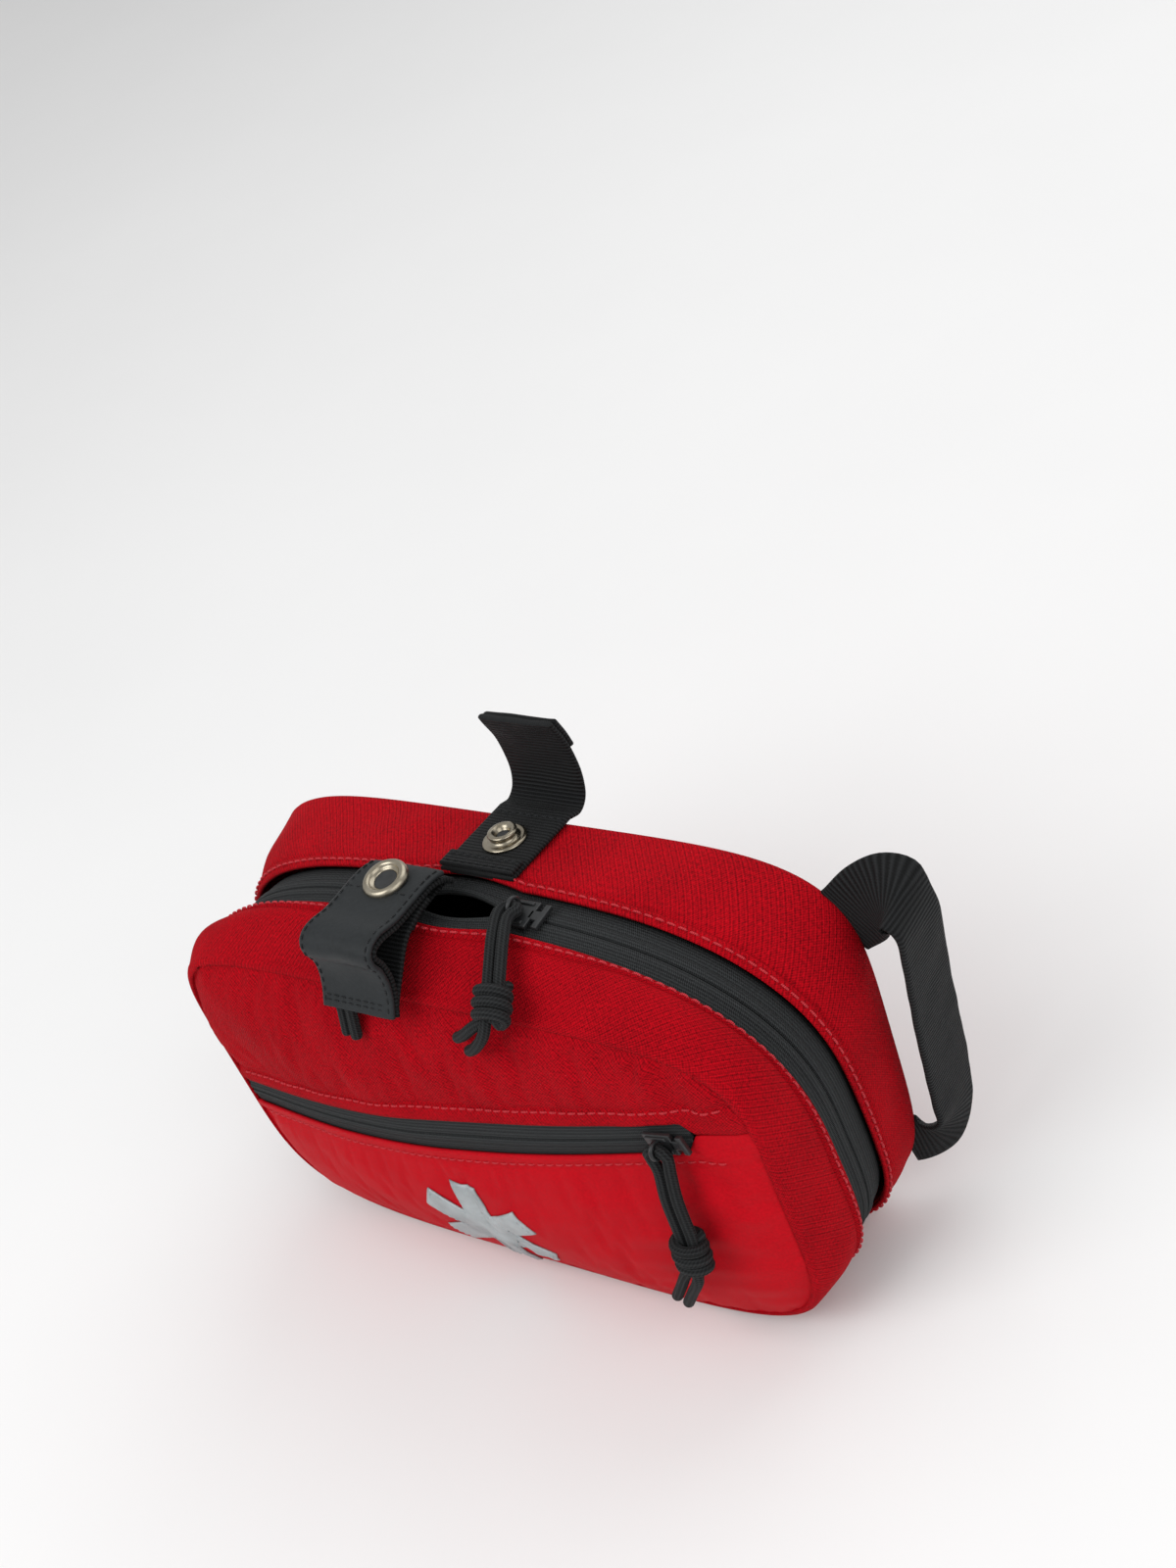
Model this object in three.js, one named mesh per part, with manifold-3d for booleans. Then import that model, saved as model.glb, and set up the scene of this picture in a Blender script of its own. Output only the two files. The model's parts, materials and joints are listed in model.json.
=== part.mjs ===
// Hiking first aid kit: a stuffed zip-round pouch that opens on a fabric hinge along its bottom.
// Millimetres. X runs to the kit's right, Y to its back, Z up; the base face is Z = 0.
import * as THREE from 'three';
import { mergeVertices } from 'three/addons/utils/BufferGeometryUtils.js';
import Module from 'manifold-3d';

const wasm = await Module();
wasm.setup();

// ---------- driving dimensions ----------

const GAP = 0.3;                    // clearance between pieces that touch
const WALL = 2.4;                   // fabric, foam and lining together
const WEBBING = 1.6;                // thickness of the strap webbing
const STRAP_WIDTH = 25;
const HANDLE_WIDTH = 20;
const CORD = 3.2;                   // diameter of the pull cord

// Outlines of the pouch across its depth: superellipses, wide and nearly flat along the bottom.
const FRONT_EDGE = { half: 99, low: 0, high: 109, top: 6, bottom: 4.4 };
const ZIP_EDGE = { half: 101.5, low: -1.6, high: 120, top: 2.8, bottom: 3.9 };
const BACK_EDGE = { half: 101, low: -1.6, high: 117, top: 5.2, bottom: 4.1 };

const FRONT_Y = { foot: -29, head: -25 };     // the front panel leans back towards its top
const BACK_Y = { foot: 24, head: 36.5 };      // the back panel leans out towards its top
const FRONT_BELLY = 11;                       // how far the stuffed front panel swells
const SAG = 0.5;                              // how much more it swells low down than high up
const ZIP_HALF = 7;                           // half of the visible main zip
const COIL_HALF = 2.6;
const ZIP_END = -32;                          // degrees below the side where the main zip stops

const POCKET_Z = 66;                // height of the front pocket's zip at the middle of the kit
const POCKET_RISE = 0.18;           // how fast that zip climbs to the right
const POCKET_TAPE = 10;             // its visible height
const POCKET_COIL = 3.6;
const POCKET_RIGHT = 79;            // where its tape ends, short of the panel's edge
const STAR_AT = { x: -4, z: 28 };
const STAR_REACH = 20.5;
const STAR_ARM = 9.5;

const STRAP_X = 3.5;                // centre of the rear strap
const TAB_X = -12.5;                // centre of the front tab
const TAB_ROOT_X = -8.5;            // centre of the narrow tape that carries the tab
const TAB_ROOT_WIDTH = 10;
const SLIDER_RIGHT_X = 23;
const SLIDER_LEFT_X = -21;
const POCKET_SLIDER_X = 71;

const RED = 0xb0101e;
const BRIGHT_RED = 0xc00f22;
const BLACK = 0x26282a;
const GREY = 0x34373a;
const LINING = 0x1b1c1e;
const NICKEL = 0x8d8577;
const SILVER = 0xb4babd;
const GAUZE = 0xe9e5da;

// ---------- scene helpers ----------

const kit = new THREE.Group();

function add(name, geometry, color, roughness = 0.9, metalness = 0) {
  const material = new THREE.MeshStandardMaterial({ color, roughness, metalness });
  const mesh = new THREE.Mesh(geometry, material);
  mesh.name = name;
  kit.add(mesh);
  return mesh;
}

function signedVolume(geometry) {
  const position = geometry.attributes.position;
  const corner = [0, 1, 2].map(() => new THREE.Vector3());
  let sum = 0;
  for (let i = 0; i < geometry.index.count; i += 3) {
    corner.forEach((point, k) => point.fromBufferAttribute(position, geometry.index.getX(i + k)));
    sum += corner[0].dot(corner[1].clone().cross(corner[2]));
  }
  return sum / 6;
}

// One closed body with shared corners and its faces pointing out.
function closed(source) {
  const bare = source.clone();
  bare.deleteAttribute('normal');
  bare.deleteAttribute('uv');
  const merged = mergeVertices(bare, 1e-4);
  const index = Array.from(merged.index.array);
  let kept = [];
  for (let i = 0; i < index.length; i += 3) {
    const [a, b, c] = index.slice(i, i + 3);
    if (a !== b && b !== c && a !== c) kept.push([a, b, c]);
  }
  merged.setIndex(kept.flat());
  if (signedVolume(merged) < 0) {
    kept = kept.map(([a, b, c]) => [a, c, b]);
    merged.setIndex(kept.flat());
  }
  merged.computeVertexNormals();
  return merged;
}

function toSolid(geometry) {
  const source = closed(geometry);
  return new wasm.Manifold(new wasm.Mesh({
    numProp: 3,
    vertProperties: new Float32Array(source.attributes.position.array),
    triVerts: new Uint32Array(source.index.array),
  }));
}

function fromSolid(solid) {
  const mesh = solid.getMesh();
  const geometry = new THREE.BufferGeometry();
  geometry.setAttribute('position', new THREE.BufferAttribute(new Float32Array(mesh.vertProperties), 3));
  geometry.setIndex(new THREE.BufferAttribute(new Uint32Array(mesh.triVerts), 1));
  geometry.computeVertexNormals();
  return geometry;
}

const joined = (...parts) => fromSolid(parts.map(toSolid).reduce((whole, part) => whole.add(part)));
const common = (part, tool) => fromSolid(toSolid(part).intersect(toSolid(tool)));

function block(x, y, z) {
  const box = new THREE.BoxGeometry(x[1] - x[0], y[1] - y[0], z[1] - z[0]);
  return box.translate((x[0] + x[1]) / 2, (y[0] + y[1]) / 2, (z[0] + z[1]) / 2);
}

// ---------- the pouch's outline ----------

const mix = (a, b, t) => a + (b - a) * t;
const middleOf = (edge) => (edge.low + edge.high) / 2;

function mixEdge(a, b, t) {
  return Object.fromEntries(Object.keys(a).map((key) => [key, mix(a[key], b[key], t)]));
}

// The point of an outline at an angle from its middle, drawn in by an inset, flat along the base.
function outlinePoint(edge, angle, inset = 0) {
  const middle = middleOf(edge);
  const half = edge.half - inset;
  const height = (edge.high - edge.low) / 2 - inset;
  const power = Math.sin(angle) >= 0 ? edge.top : edge.bottom;
  const x = Math.abs(Math.cos(angle)) / half;
  const z = Math.abs(Math.sin(angle)) / height;
  const reach = (x ** power + z ** power) ** (-1 / power);
  return { x: reach * Math.cos(angle), z: Math.max(middle + reach * Math.sin(angle), inset) };
}

const frontY = (z) => mix(FRONT_Y.foot, FRONT_Y.head, z / FRONT_EDGE.high);
const backY = (z) => mix(BACK_Y.foot, BACK_Y.head, z / BACK_EDGE.high);

// A wall that follows the outline all round, from one edge of the pouch to another.
// place(share) gives the outline and the depth at a share of the way.
function ringWall(place, insets, steps, segments = 64) {
  const core = 100;
  const shares = Array.from({ length: steps + 1 }, (_, i) => i / steps);
  const outer = shares.map((share) => new THREE.Vector2(core - insets[0], share));
  const inner = shares.map((share) => new THREE.Vector2(core - insets[1], share)).reverse();
  const ring = new THREE.LatheGeometry([...outer, ...inner, outer[0].clone()], segments);
  const position = ring.attributes.position;
  for (let i = 0; i < position.count; i += 1) {
    const across = position.getX(i);
    const up = position.getZ(i);
    const share = position.getY(i);
    const inset = core - Math.hypot(across, up);
    const { edge, depth } = place(share);
    const point = outlinePoint(edge, Math.atan2(up, across), inset);
    position.setXYZ(i, point.x, depth(point.z), point.z);
  }
  return closed(ring);
}

// How much of its belly a panel has at a share of the way from its middle to its rim.
const swellAt = (share) => Math.max(0, 1 - share ** 2) ** 1.2;

// How much the contents, sinking, push the panel out at a height.
const sagAt = (edge, z) => 1 - (SAG * (z - middleOf(edge))) / ((edge.high - edge.low) / 2);

// A panel that fills an outline, swelling by belly and more so low down.
// Its face and its rear lie at the two layers, measured behind its outer surface.
function panel(edge, depth, belly, layers, inset, segments = 64) {
  const rings = [0, 0.3, 0.58, 0.82, 1];
  const face = rings.map((r) => new THREE.Vector2(r, 0));
  const rear = rings.map((r) => new THREE.Vector2(r, 1)).reverse();
  const disc = new THREE.LatheGeometry([...face, ...rear], segments);
  const middle = middleOf(edge);
  const position = disc.attributes.position;
  for (let i = 0; i < position.count; i += 1) {
    const across = position.getX(i);
    const up = position.getZ(i);
    const share = Math.hypot(across, up);
    const rim = outlinePoint(edge, Math.atan2(up, across), inset);
    const z = mix(middle, rim.z, share);
    const layer = position.getY(i) > 0.5 ? layers[1] : layers[0];
    const swell = belly * swellAt(share) * sagAt(edge, z);
    position.setXYZ(i, rim.x * share, depth(z) + swell + layer, z);
  }
  return closed(disc);
}

// ---------- strips, cords and turned pieces ----------

const yzFrame = new THREE.Matrix4().makeBasis(
  new THREE.Vector3(0, 1, 0), new THREE.Vector3(0, 0, 1), new THREE.Vector3(1, 0, 0));

function stripShape(points, thickness, divisions) {
  const curve = new THREE.SplineCurve(points.map(([u, v]) => new THREE.Vector2(u, v)));
  const above = [];
  const below = [];
  for (let i = 0; i <= divisions; i += 1) {
    const point = curve.getPoint(i / divisions);
    const along = curve.getTangent(i / divisions);
    const side = new THREE.Vector2(-along.y, along.x).multiplyScalar(thickness / 2);
    above.push(point.clone().add(side));
    below.unshift(point.clone().sub(side));
  }
  return new THREE.Shape([...above, ...below]);
}

// A strip of webbing seen from the side in the YZ plane, with its width along X.
function strapAcross(points, thickness, width, x, divisions = 20) {
  const shape = stripShape(points, thickness, divisions);
  const strip = new THREE.ExtrudeGeometry(shape, { depth: width, bevelEnabled: false });
  return strip.applyMatrix4(yzFrame).translate(x - width / 2, 0, 0);
}

// A flat shape in the XZ plane, extruded between two depths.
function slab(shape, y0, y1) {
  const solid = new THREE.ExtrudeGeometry(shape, { depth: y1 - y0, bevelEnabled: false });
  return solid.rotateX(Math.PI / 2).translate(0, y1, 0);
}

function roundSection(radius, sides) {
  return new THREE.Shape(Array.from({ length: sides }, (_, i) => {
    const turn = (i / sides) * Math.PI * 2;
    return new THREE.Vector2(radius * Math.cos(turn), radius * Math.sin(turn));
  }));
}

function cord(points, steps) {
  const path = new THREE.CatmullRomCurve3(points.map((p) => new THREE.Vector3(...p)), false, 'centripetal');
  const section = roundSection(CORD / 2, 8);
  return new THREE.ExtrudeGeometry(section, { steps, bevelEnabled: false, extrudePath: path });
}

function turned(profile, segments = 28) {
  return new THREE.LatheGeometry(profile.map(([r, h]) => new THREE.Vector2(r, h)), segments);
}

function arcStrip(from, to, insets, y0, y1, steps) {
  const at = (inset, i) => {
    const point = outlinePoint(ZIP_EDGE, THREE.MathUtils.degToRad(mix(from, to, i / steps)), inset);
    return new THREE.Vector2(point.x, point.z);
  };
  const outer = Array.from({ length: steps + 1 }, (_, i) => at(insets[0], i));
  const inner = Array.from({ length: steps + 1 }, (_, i) => at(insets[1], steps - i));
  return slab(new THREE.Shape([...outer, ...inner]), y0, y1);
}

// ---------- the two halves of the pouch ----------

const seamY = ZIP_HALF + GAP;

function frontPlace(share) {
  const swell = Math.sin(share * Math.PI) * 1.5;
  const edge = mixEdge(FRONT_EDGE, ZIP_EDGE, share);
  edge.half += swell;
  edge.high += swell;
  return { edge, depth: (z) => mix(frontY(z), -seamY, share) };
}

function rearPlace(share) {
  const edge = mixEdge(ZIP_EDGE, BACK_EDGE, share);
  edge.half += Math.sin(share * Math.PI) * 1.2;
  return { edge, depth: (z) => mix(seamY, backY(z), share) };
}

add('front_gusset', ringWall(frontPlace, [0, WALL], 3), RED);
add('rear_gusset', ringWall(rearPlace, [0, WALL], 3), RED);
add('back_panel', panel(BACK_EDGE, backY, 0, [-WALL, 0], WALL + GAP), RED);

const frontFace = panel(FRONT_EDGE, frontY, -FRONT_BELLY, [0, 2], WALL + GAP);

// A block through the front panel whose lower and upper faces follow the slope of the pocket's zip.
function alongPocket([left, right], low, high) {
  const at = (x, off) => new THREE.Vector2(x, POCKET_Z + POCKET_RISE * x + off);
  return slab(new THREE.Shape([at(left, low), at(right, low), at(right, high), at(left, high)]), -80, 0);
}

const tapeHalf = POCKET_TAPE / 2;
const coilHalf = POCKET_COIL / 2;
const pastTape = [POCKET_RIGHT + GAP, 150];
const tapeReach = [-150, POCKET_RIGHT];
const across = [-150, 150];
const abovePocket = joined(alongPocket(across, tapeHalf, 150), alongPocket(pastTape, GAP / 2, 150));
const belowPocket = joined(alongPocket(across, -150, -tapeHalf), alongPocket(pastTape, -150, -GAP / 2));
add('front_upper_panel', common(frontFace, abovePocket), RED);
add('front_pocket_panel', common(frontFace, belowPocket), BRIGHT_RED, 0.7);
const zipFace = panel(FRONT_EDGE, frontY, -FRONT_BELLY, [0.5, 1.8], WALL + GAP * 2);
function pocketTape(side, low, high) {
  add(`pocket_zip_tape_${side}`, common(zipFace, alongPocket(tapeReach, low, high)), GREY);
}
pocketTape('upper', coilHalf + GAP, tapeHalf - GAP);
pocketTape('lower', GAP - tapeHalf, -coilHalf - GAP);
const pocketCoil = common(zipFace, alongPocket([-150, POCKET_RIGHT - 3], -coilHalf, coilHalf));
add('pocket_zip_coil', pocketCoil, BLACK, 0.5);
add('front_lining', panel(FRONT_EDGE, frontY, -FRONT_BELLY, [2 + GAP, 3.6], WALL + GAP), LINING);
add('mesh_pocket', common(
  panel(FRONT_EDGE, frontY, -FRONT_BELLY, [3.9, 4.9], WALL + 8),
  block([-150, 150], [-80, 0], [-20, 60]),
), BLACK);

// ---------- main zip, right round the top and sides, and the fabric hinge under it ----------

const zipFrom = ZIP_END;
const zipTo = 180 - ZIP_END;
const zipSteps = 44;
const COIL_TOP = 0.9;               // the coil lies this far below the outline
add('front_zip_tape', arcStrip(zipFrom, zipTo, [1.1, 2.4], -ZIP_HALF, -COIL_HALF - GAP, zipSteps), GREY);
add('front_zip_coil', arcStrip(zipFrom, zipTo, [COIL_TOP, 2.8], -COIL_HALF, -GAP / 2, zipSteps), BLACK, 0.5);
add('rear_zip_coil', arcStrip(zipFrom, zipTo, [COIL_TOP, 2.8], GAP / 2, COIL_HALF, zipSteps), BLACK, 0.5);
add('rear_zip_tape', arcStrip(zipFrom, zipTo, [1.1, 2.4], COIL_HALF + GAP, ZIP_HALF, zipSteps), GREY);
const hingeClear = 0.6;
const stripFrom = -180 - ZIP_END + hingeClear;
add('bottom_hinge_strip', arcStrip(stripFrom, ZIP_END - hingeClear, [0, WALL], -ZIP_HALF, ZIP_HALF, 18), RED);

// ---------- what the kit holds, on the back half ----------

const ROLL_RADIUS = 16;
const ROLL_HEIGHT = 68;
const BAND_HEIGHT = 20;
const BAND_THICK = 1.2;
const boardDepth = (z) => backY(z) - WALL - GAP;
add('organiser_board', panel(BACK_EDGE, boardDepth, 0, [-2, 0], 9), LINING);

// A loop of elastic round a roll or pack, sewn to the board at both ends.
function elasticLoop(name, x, halfWidth, front, corner, z) {
  const back = boardDepth(z - BAND_HEIGHT / 2) - 2 - GAP - BAND_THICK;
  const foot = 3.5;
  const outline = (side) => {
    const grow = (BAND_THICK / 2) * side;
    const wall = halfWidth + GAP + BAND_THICK / 2 + grow;
    const lid = front - GAP - BAND_THICK / 2 - grow;
    const round = Math.max(corner + grow, 0.5);
    const turn = Array.from({ length: 7 }, (_, i) => (i / 6) * (Math.PI / 2));
    const left = turn.map((t) => [-wall + round * (1 - Math.cos(t)), lid + round * (1 - Math.sin(t))]);
    const right = left.map(([u, v]) => [-u, v]).reverse();
    const base = back - grow;
    return [[-wall - foot, base], [-wall, base], ...left, ...right, [wall, base], [wall + foot, base]];
  };
  const ring = [...outline(1), ...outline(-1).reverse()].map(([u, v]) => new THREE.Vector2(x + u, v));
  const shape = new THREE.Shape(ring);
  const loop = new THREE.ExtrudeGeometry(shape, { depth: BAND_HEIGHT, bevelEnabled: false });
  add(name, closed(loop.translate(0, 0, z - BAND_HEIGHT / 2)), BLACK);
}

const rollZ = 14 + ROLL_HEIGHT / 2;
const rollY = boardDepth(14) - 2 - GAP - ROLL_RADIUS - BAND_THICK;
[['left', -56], ['right', -13]].forEach(([side, x]) => {
  const edgeCut = 1.5;
  const half = ROLL_HEIGHT / 2;
  const roll = turned([
    [0, -half], [ROLL_RADIUS - edgeCut, -half], [ROLL_RADIUS, -half + edgeCut],
    [ROLL_RADIUS, half - edgeCut], [ROLL_RADIUS - edgeCut, half], [0, half],
  ]);
  add(`bandage_roll_${side}`, closed(roll.rotateX(Math.PI / 2).translate(x, rollY, rollZ)), GAUZE);
  elasticLoop(`elastic_loop_${side}`, x, ROLL_RADIUS, rollY - ROLL_RADIUS, ROLL_RADIUS, rollZ);
});

const PACK = { x: 42, half: 26, z: [13, 88], thick: 13 };
const packBack = boardDepth(PACK.z[0]) - 2 - GAP - BAND_THICK;
const packFront = packBack - PACK.thick;
const packX = [PACK.x - PACK.half, PACK.x + PACK.half];
add('dressing_pack', closed(block(packX, [packFront, packBack], PACK.z)), GAUZE);
elasticLoop('elastic_loop_pack', PACK.x, PACK.half + 0.8, packFront - GAP, 0, (PACK.z[0] + PACK.z[1]) / 2);

// ---------- star patch on the pocket ----------

function starShape(reach, arm) {
  const half = arm / 2;
  const inner = half / Math.sin(Math.PI / 6);
  const points = [];
  for (let i = 0; i < 6; i += 1) {
    const axis = Math.PI / 2 + (i * Math.PI) / 3;
    const out = new THREE.Vector2(Math.cos(axis), Math.sin(axis));
    const side = new THREE.Vector2(-out.y, out.x).multiplyScalar(half);
    points.push(out.clone().multiplyScalar(reach).sub(side), out.clone().multiplyScalar(reach).add(side));
    const notch = axis + Math.PI / 6;
    points.push(new THREE.Vector2(Math.cos(notch), Math.sin(notch)).multiplyScalar(inner));
  }
  return new THREE.Shape(points);
}

const star = slab(starShape(STAR_REACH, STAR_ARM), -80, 0).translate(STAR_AT.x, 0, STAR_AT.z);
const patchSkin = panel(FRONT_EDGE, frontY, -FRONT_BELLY, [-GAP - 0.8, -GAP], WALL + GAP);
add('star_patch', common(patchSkin, star), SILVER, 0.45);

// ---------- rear strap with its snap stud ----------

const rearTop = (y) => mix(ZIP_EDGE.high, BACK_EDGE.high, (y - seamY) / (BACK_Y.head - seamY));
const onRear = (y, lift) => [y, rearTop(y) + lift];
const strapLift = GAP + WEBBING / 2;
const strapEnd = BACK_Y.head + 0.3;
add('rear_strap_base', closed(strapAcross(
  [onRear(9.2, strapLift), onRear(21, strapLift), onRear(strapEnd, strapLift)],
  WEBBING, STRAP_WIDTH, STRAP_X, 6,
)), BLACK);

const studY = 23.3;
const stud = turned([
  [0, 0], [6.2, 0], [6.2, 0.7], [5.2, 1.1], [4, 1.2], [3.6, 1.8], [3.7, 3.2], [3.2, 3.7],
  [2.6, 3.4], [1.6, 2.2], [0, 2.2],
]);
const strapSlope = Math.atan2(BACK_EDGE.high - ZIP_EDGE.high, BACK_Y.head - seamY);
stud.rotateX(Math.PI / 2 + strapSlope);
const studFoot = onRear(studY, strapLift + WEBBING / 2 + GAP);
add('snap_stud', closed(stud.translate(STRAP_X, ...studFoot)), NICKEL, 0.3, 1);

const tailPath = [
  onRear(strapEnd + 1, strapLift), [BACK_Y.head + 4.6, 117.2], [BACK_Y.head + 8.4, 119.6],
  [BACK_Y.head + 10.4, 126], [BACK_Y.head + 10.2, 134.5], [BACK_Y.head + 8, 144.5],
];
add('rear_strap_tail', closed(strapAcross(tailPath, WEBBING, STRAP_WIDTH, STRAP_X)), BLACK);
const foldOff = WEBBING + GAP;
const foldPath = tailPath.slice(-2).map(([y, z]) => [y + foldOff * 0.95, z + foldOff * 0.3]);
add('rear_strap_fold', closed(strapAcross(foldPath, WEBBING, STRAP_WIDTH, STRAP_X, 4)), BLACK);

// ---------- front tab: a leathery facing on webbing, held by a tape from the front seam ----------

const TAB_FACING = 1.3;
const TAB_TAPE = 0.9;
const tabPath = [
  [5, 122.5], [2.6, 125.1], [-1.8, 127], [-10, 128.6], [-18, 129.5], [-23.8, 129.6], [-27.3, 127.4],
  [-28.8, 121.5], [-30.4, 115], [-32.8, 108.6],
];
const tabRootPath = [[-12, 119.4], [-7.3, 120.9], [-1.5, 121], [4.6, 120.9]];
add('tab_root', closed(strapAcross(tabRootPath, TAB_TAPE, TAB_ROOT_WIDTH, TAB_ROOT_X, 10)), BLACK);
const facingLift = (WEBBING + TAB_FACING) / 2 + GAP;
const facingPath = tabPath.map(([y, z], i) => {
  const before = tabPath[Math.max(i - 1, 0)];
  const after = tabPath[Math.min(i + 1, tabPath.length - 1)];
  const along = new THREE.Vector2(after[0] - before[0], after[1] - before[1]).normalize();
  return [y + along.y * facingLift, z - along.x * facingLift];
});
add('tab_webbing', closed(strapAcross(tabPath, WEBBING, STRAP_WIDTH, TAB_X, 28)), BLACK);
add('tab_facing', closed(strapAcross(facingPath, TAB_FACING, STRAP_WIDTH, TAB_X, 28)), GREY, 0.6);
const ringPlace = { y: -4.2, z: 127.6 + facingLift + TAB_FACING / 2 + GAP * 2.6, tilt: 0.22 };
const socketRing = turned([[3.9, 0], [6.4, 0], [6.4, 0.8], [5.6, 1.7], [4.6, 1.7], [3.9, 0.9], [3.9, 0]]);
socketRing.rotateX(Math.PI / 2 - ringPlace.tilt);
add('snap_socket_ring', closed(socketRing.translate(TAB_X, ringPlace.y, ringPlace.z)), NICKEL, 0.3, 1);

// ---------- side handle, a loop of webbing from the right shoulder to the right foot ----------

const HANDLE_Y = 35;
const handlePath = [
  [98.2, 103.4], [102, 109], [109, 112.6], [115.4, 110.2], [116.8, 101], [113, 78], [108.4, 54],
  [104.6, 34], [102.2, 23.5], [98.8, 17],
];
const handleY = [HANDLE_Y - HANDLE_WIDTH / 2, HANDLE_Y + HANDLE_WIDTH / 2];
const handle = slab(stripShape(handlePath, WEBBING, 34), ...handleY);
add('side_handle', closed(handle), BLACK);

// ---------- zip sliders and their cord pulls ----------

const PLATE = 1.4;
const EYE = 1.9;                    // radius of the eye that the pull cord goes through
const BAIL = 2.7;
const EYE_UP = PLATE + 1.75;        // height of the eye above the slider's underside

// A slider lying on a coil: a plate, a T-shaped nose at one end and a bail with an eye across it.
function sliderShape(length, width, nose) {
  const bail = roundSection(BAIL, 18);
  bail.holes.push(new THREE.Path(roundSection(EYE, 14).getPoints().reverse()));
  const eye = new THREE.ExtrudeGeometry(bail, { depth: 2, bevelEnabled: false }).applyMatrix4(yzFrame);
  const span = (from, to) => [nose * from, nose * to].sort((a, b) => a - b);
  return joined(
    block([-length / 2, length / 2], [-width / 2, width / 2], [0, PLATE]),
    block(span(length / 2 - 1, length / 2 + 2.5), [-1.5, 1.5], [0, PLATE]),
    block(span(length / 2 + 1.8, length / 2 + 3.6), [-width / 2 + 0.5, width / 2 - 0.5], [0, PLATE]),
    eye.translate(-1, 0, EYE_UP),
  );
}

// A pull: two strands of cord from the slider's eye to a knot, and the knot with its tails.
// Points are measured from the eye; the strands end just short of the knot.
function pull(name, eye, strand, knot, tails) {
  const place = (points) => points.map((p) => p.map((value, k) => value + eye[k]));
  [['a', 1], ['b', -1]].forEach(([mark, side]) => {
    const root = [[side * 0.15, 0, 0], [side * 1.3, 0, 0], [side * strand.spread, ...strand.turn]];
    const run = strand.run.map(([x, y, z]) => [x + side * strand.apart, y, z]);
    add(`${name}_strand_${mark}`, closed(cord(place([...root, ...run]), 14)), BLACK);
  });
  const ball = new THREE.SphereGeometry(1, 16, 10).scale(...knot.size).translate(...knot.at);
  ball.translate(...eye);
  const ends = tails.map((points) => cord(place([knot.at, ...points]), 6));
  add(`${name}_knot`, joined(ball, ...ends), BLACK);
}

const coilZ = (x) => outlinePoint(ZIP_EDGE, Math.atan2(middleOf(ZIP_EDGE), x), COIL_TOP).z;
[['right', SLIDER_RIGHT_X, 1], ['left', SLIDER_LEFT_X, -1]].forEach(([side, x, nose]) => {
  add(`main_slider_${side}`, closed(sliderShape(11, 9, nose).translate(x, 0, coilZ(x) + GAP)), BLACK, 0.5);
});

pull('main_pull_right', [SLIDER_RIGHT_X, 0, coilZ(SLIDER_RIGHT_X) + GAP + EYE_UP], {
  apart: 2.2,
  spread: 2.8,
  turn: [-1.4, 0.5],
  run: [[0, -5, 1], [3.4, -12, 1], [7, -20.8, -2]],
}, { at: [9.2, -27.4, -5.4], size: [5.4, 6, 5] }, [
  [[4.4, -31.8, -10], [-1.5, -32, -14.6], [-6, -30.8, -18]],
  [[7, -32.4, -11], [5.2, -32, -15.6]],
]);
pull('main_pull_left', [SLIDER_LEFT_X, 0, coilZ(SLIDER_LEFT_X) + GAP + EYE_UP], {
  apart: 2.2,
  spread: 3,
  turn: [-1.4, 0.5],
  run: [[0, -5, 0.8], [-0.4, -9.5, 0.4], [-1, -14.4, -1.4]],
}, { at: [-1.4, -20.4, -2.5], size: [5, 5.4, 4.2] }, [
  [[-1.6, -25.4, -8.6], [-1.8, -27.8, -13.8], [-2.2, -29, -18.5], [-2.6, -30.8, -24.6]],
]);

// Where the front panel's face is at a point of the panel.
function frontFaceAt(x, z) {
  const middle = middleOf(FRONT_EDGE);
  const rim = outlinePoint(FRONT_EDGE, Math.atan2(z - middle, x), WALL + GAP);
  const share = Math.min(1, Math.hypot(x, z - middle) / Math.hypot(rim.x, rim.z - middle));
  return frontY(z) - FRONT_BELLY * swellAt(share) * sagAt(FRONT_EDGE, z);
}

const pocketSliderZ = POCKET_Z + POCKET_RISE * POCKET_SLIDER_X;
const pocketFace = frontFaceAt(POCKET_SLIDER_X - 6, pocketSliderZ) + 0.5 - GAP * 2;
const pocketSlider = sliderShape(9, 7, 1).rotateX(Math.PI / 2).rotateY(-Math.atan(POCKET_RISE));
pocketSlider.translate(POCKET_SLIDER_X, pocketFace, pocketSliderZ);
add('pocket_slider', closed(pocketSlider), BLACK, 0.5);
pull('pocket_pull', [POCKET_SLIDER_X, pocketFace - EYE_UP, pocketSliderZ], {
  apart: 2.2,
  spread: 3.3,
  turn: [-0.5, -1.4],
  run: [[1, -1.8, -6], [1.4, -4.2, -14], [2.6, -6.4, -24.6]],
}, { at: [3, -7.6, -30.6], size: [5.4, 5, 6] }, [
  [[-1.4, -8.6, -39.6], [-7, -8, -48.4], [-11.6, -7, -55.4]],
  [[3.4, -8.2, -37.6], [2.4, -7.8, -44.6]],
]);

export default kit;
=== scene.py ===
"""The looks of a hiking first aid kit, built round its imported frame.

Lengths are in millimetres until a mesh is made, where MM turns them into metres.
"""

import json
import math

import bpy
import bmesh
import numpy as np
from mathutils import Matrix, Vector, noise
from mathutils.bvhtree import BVHTree

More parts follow.
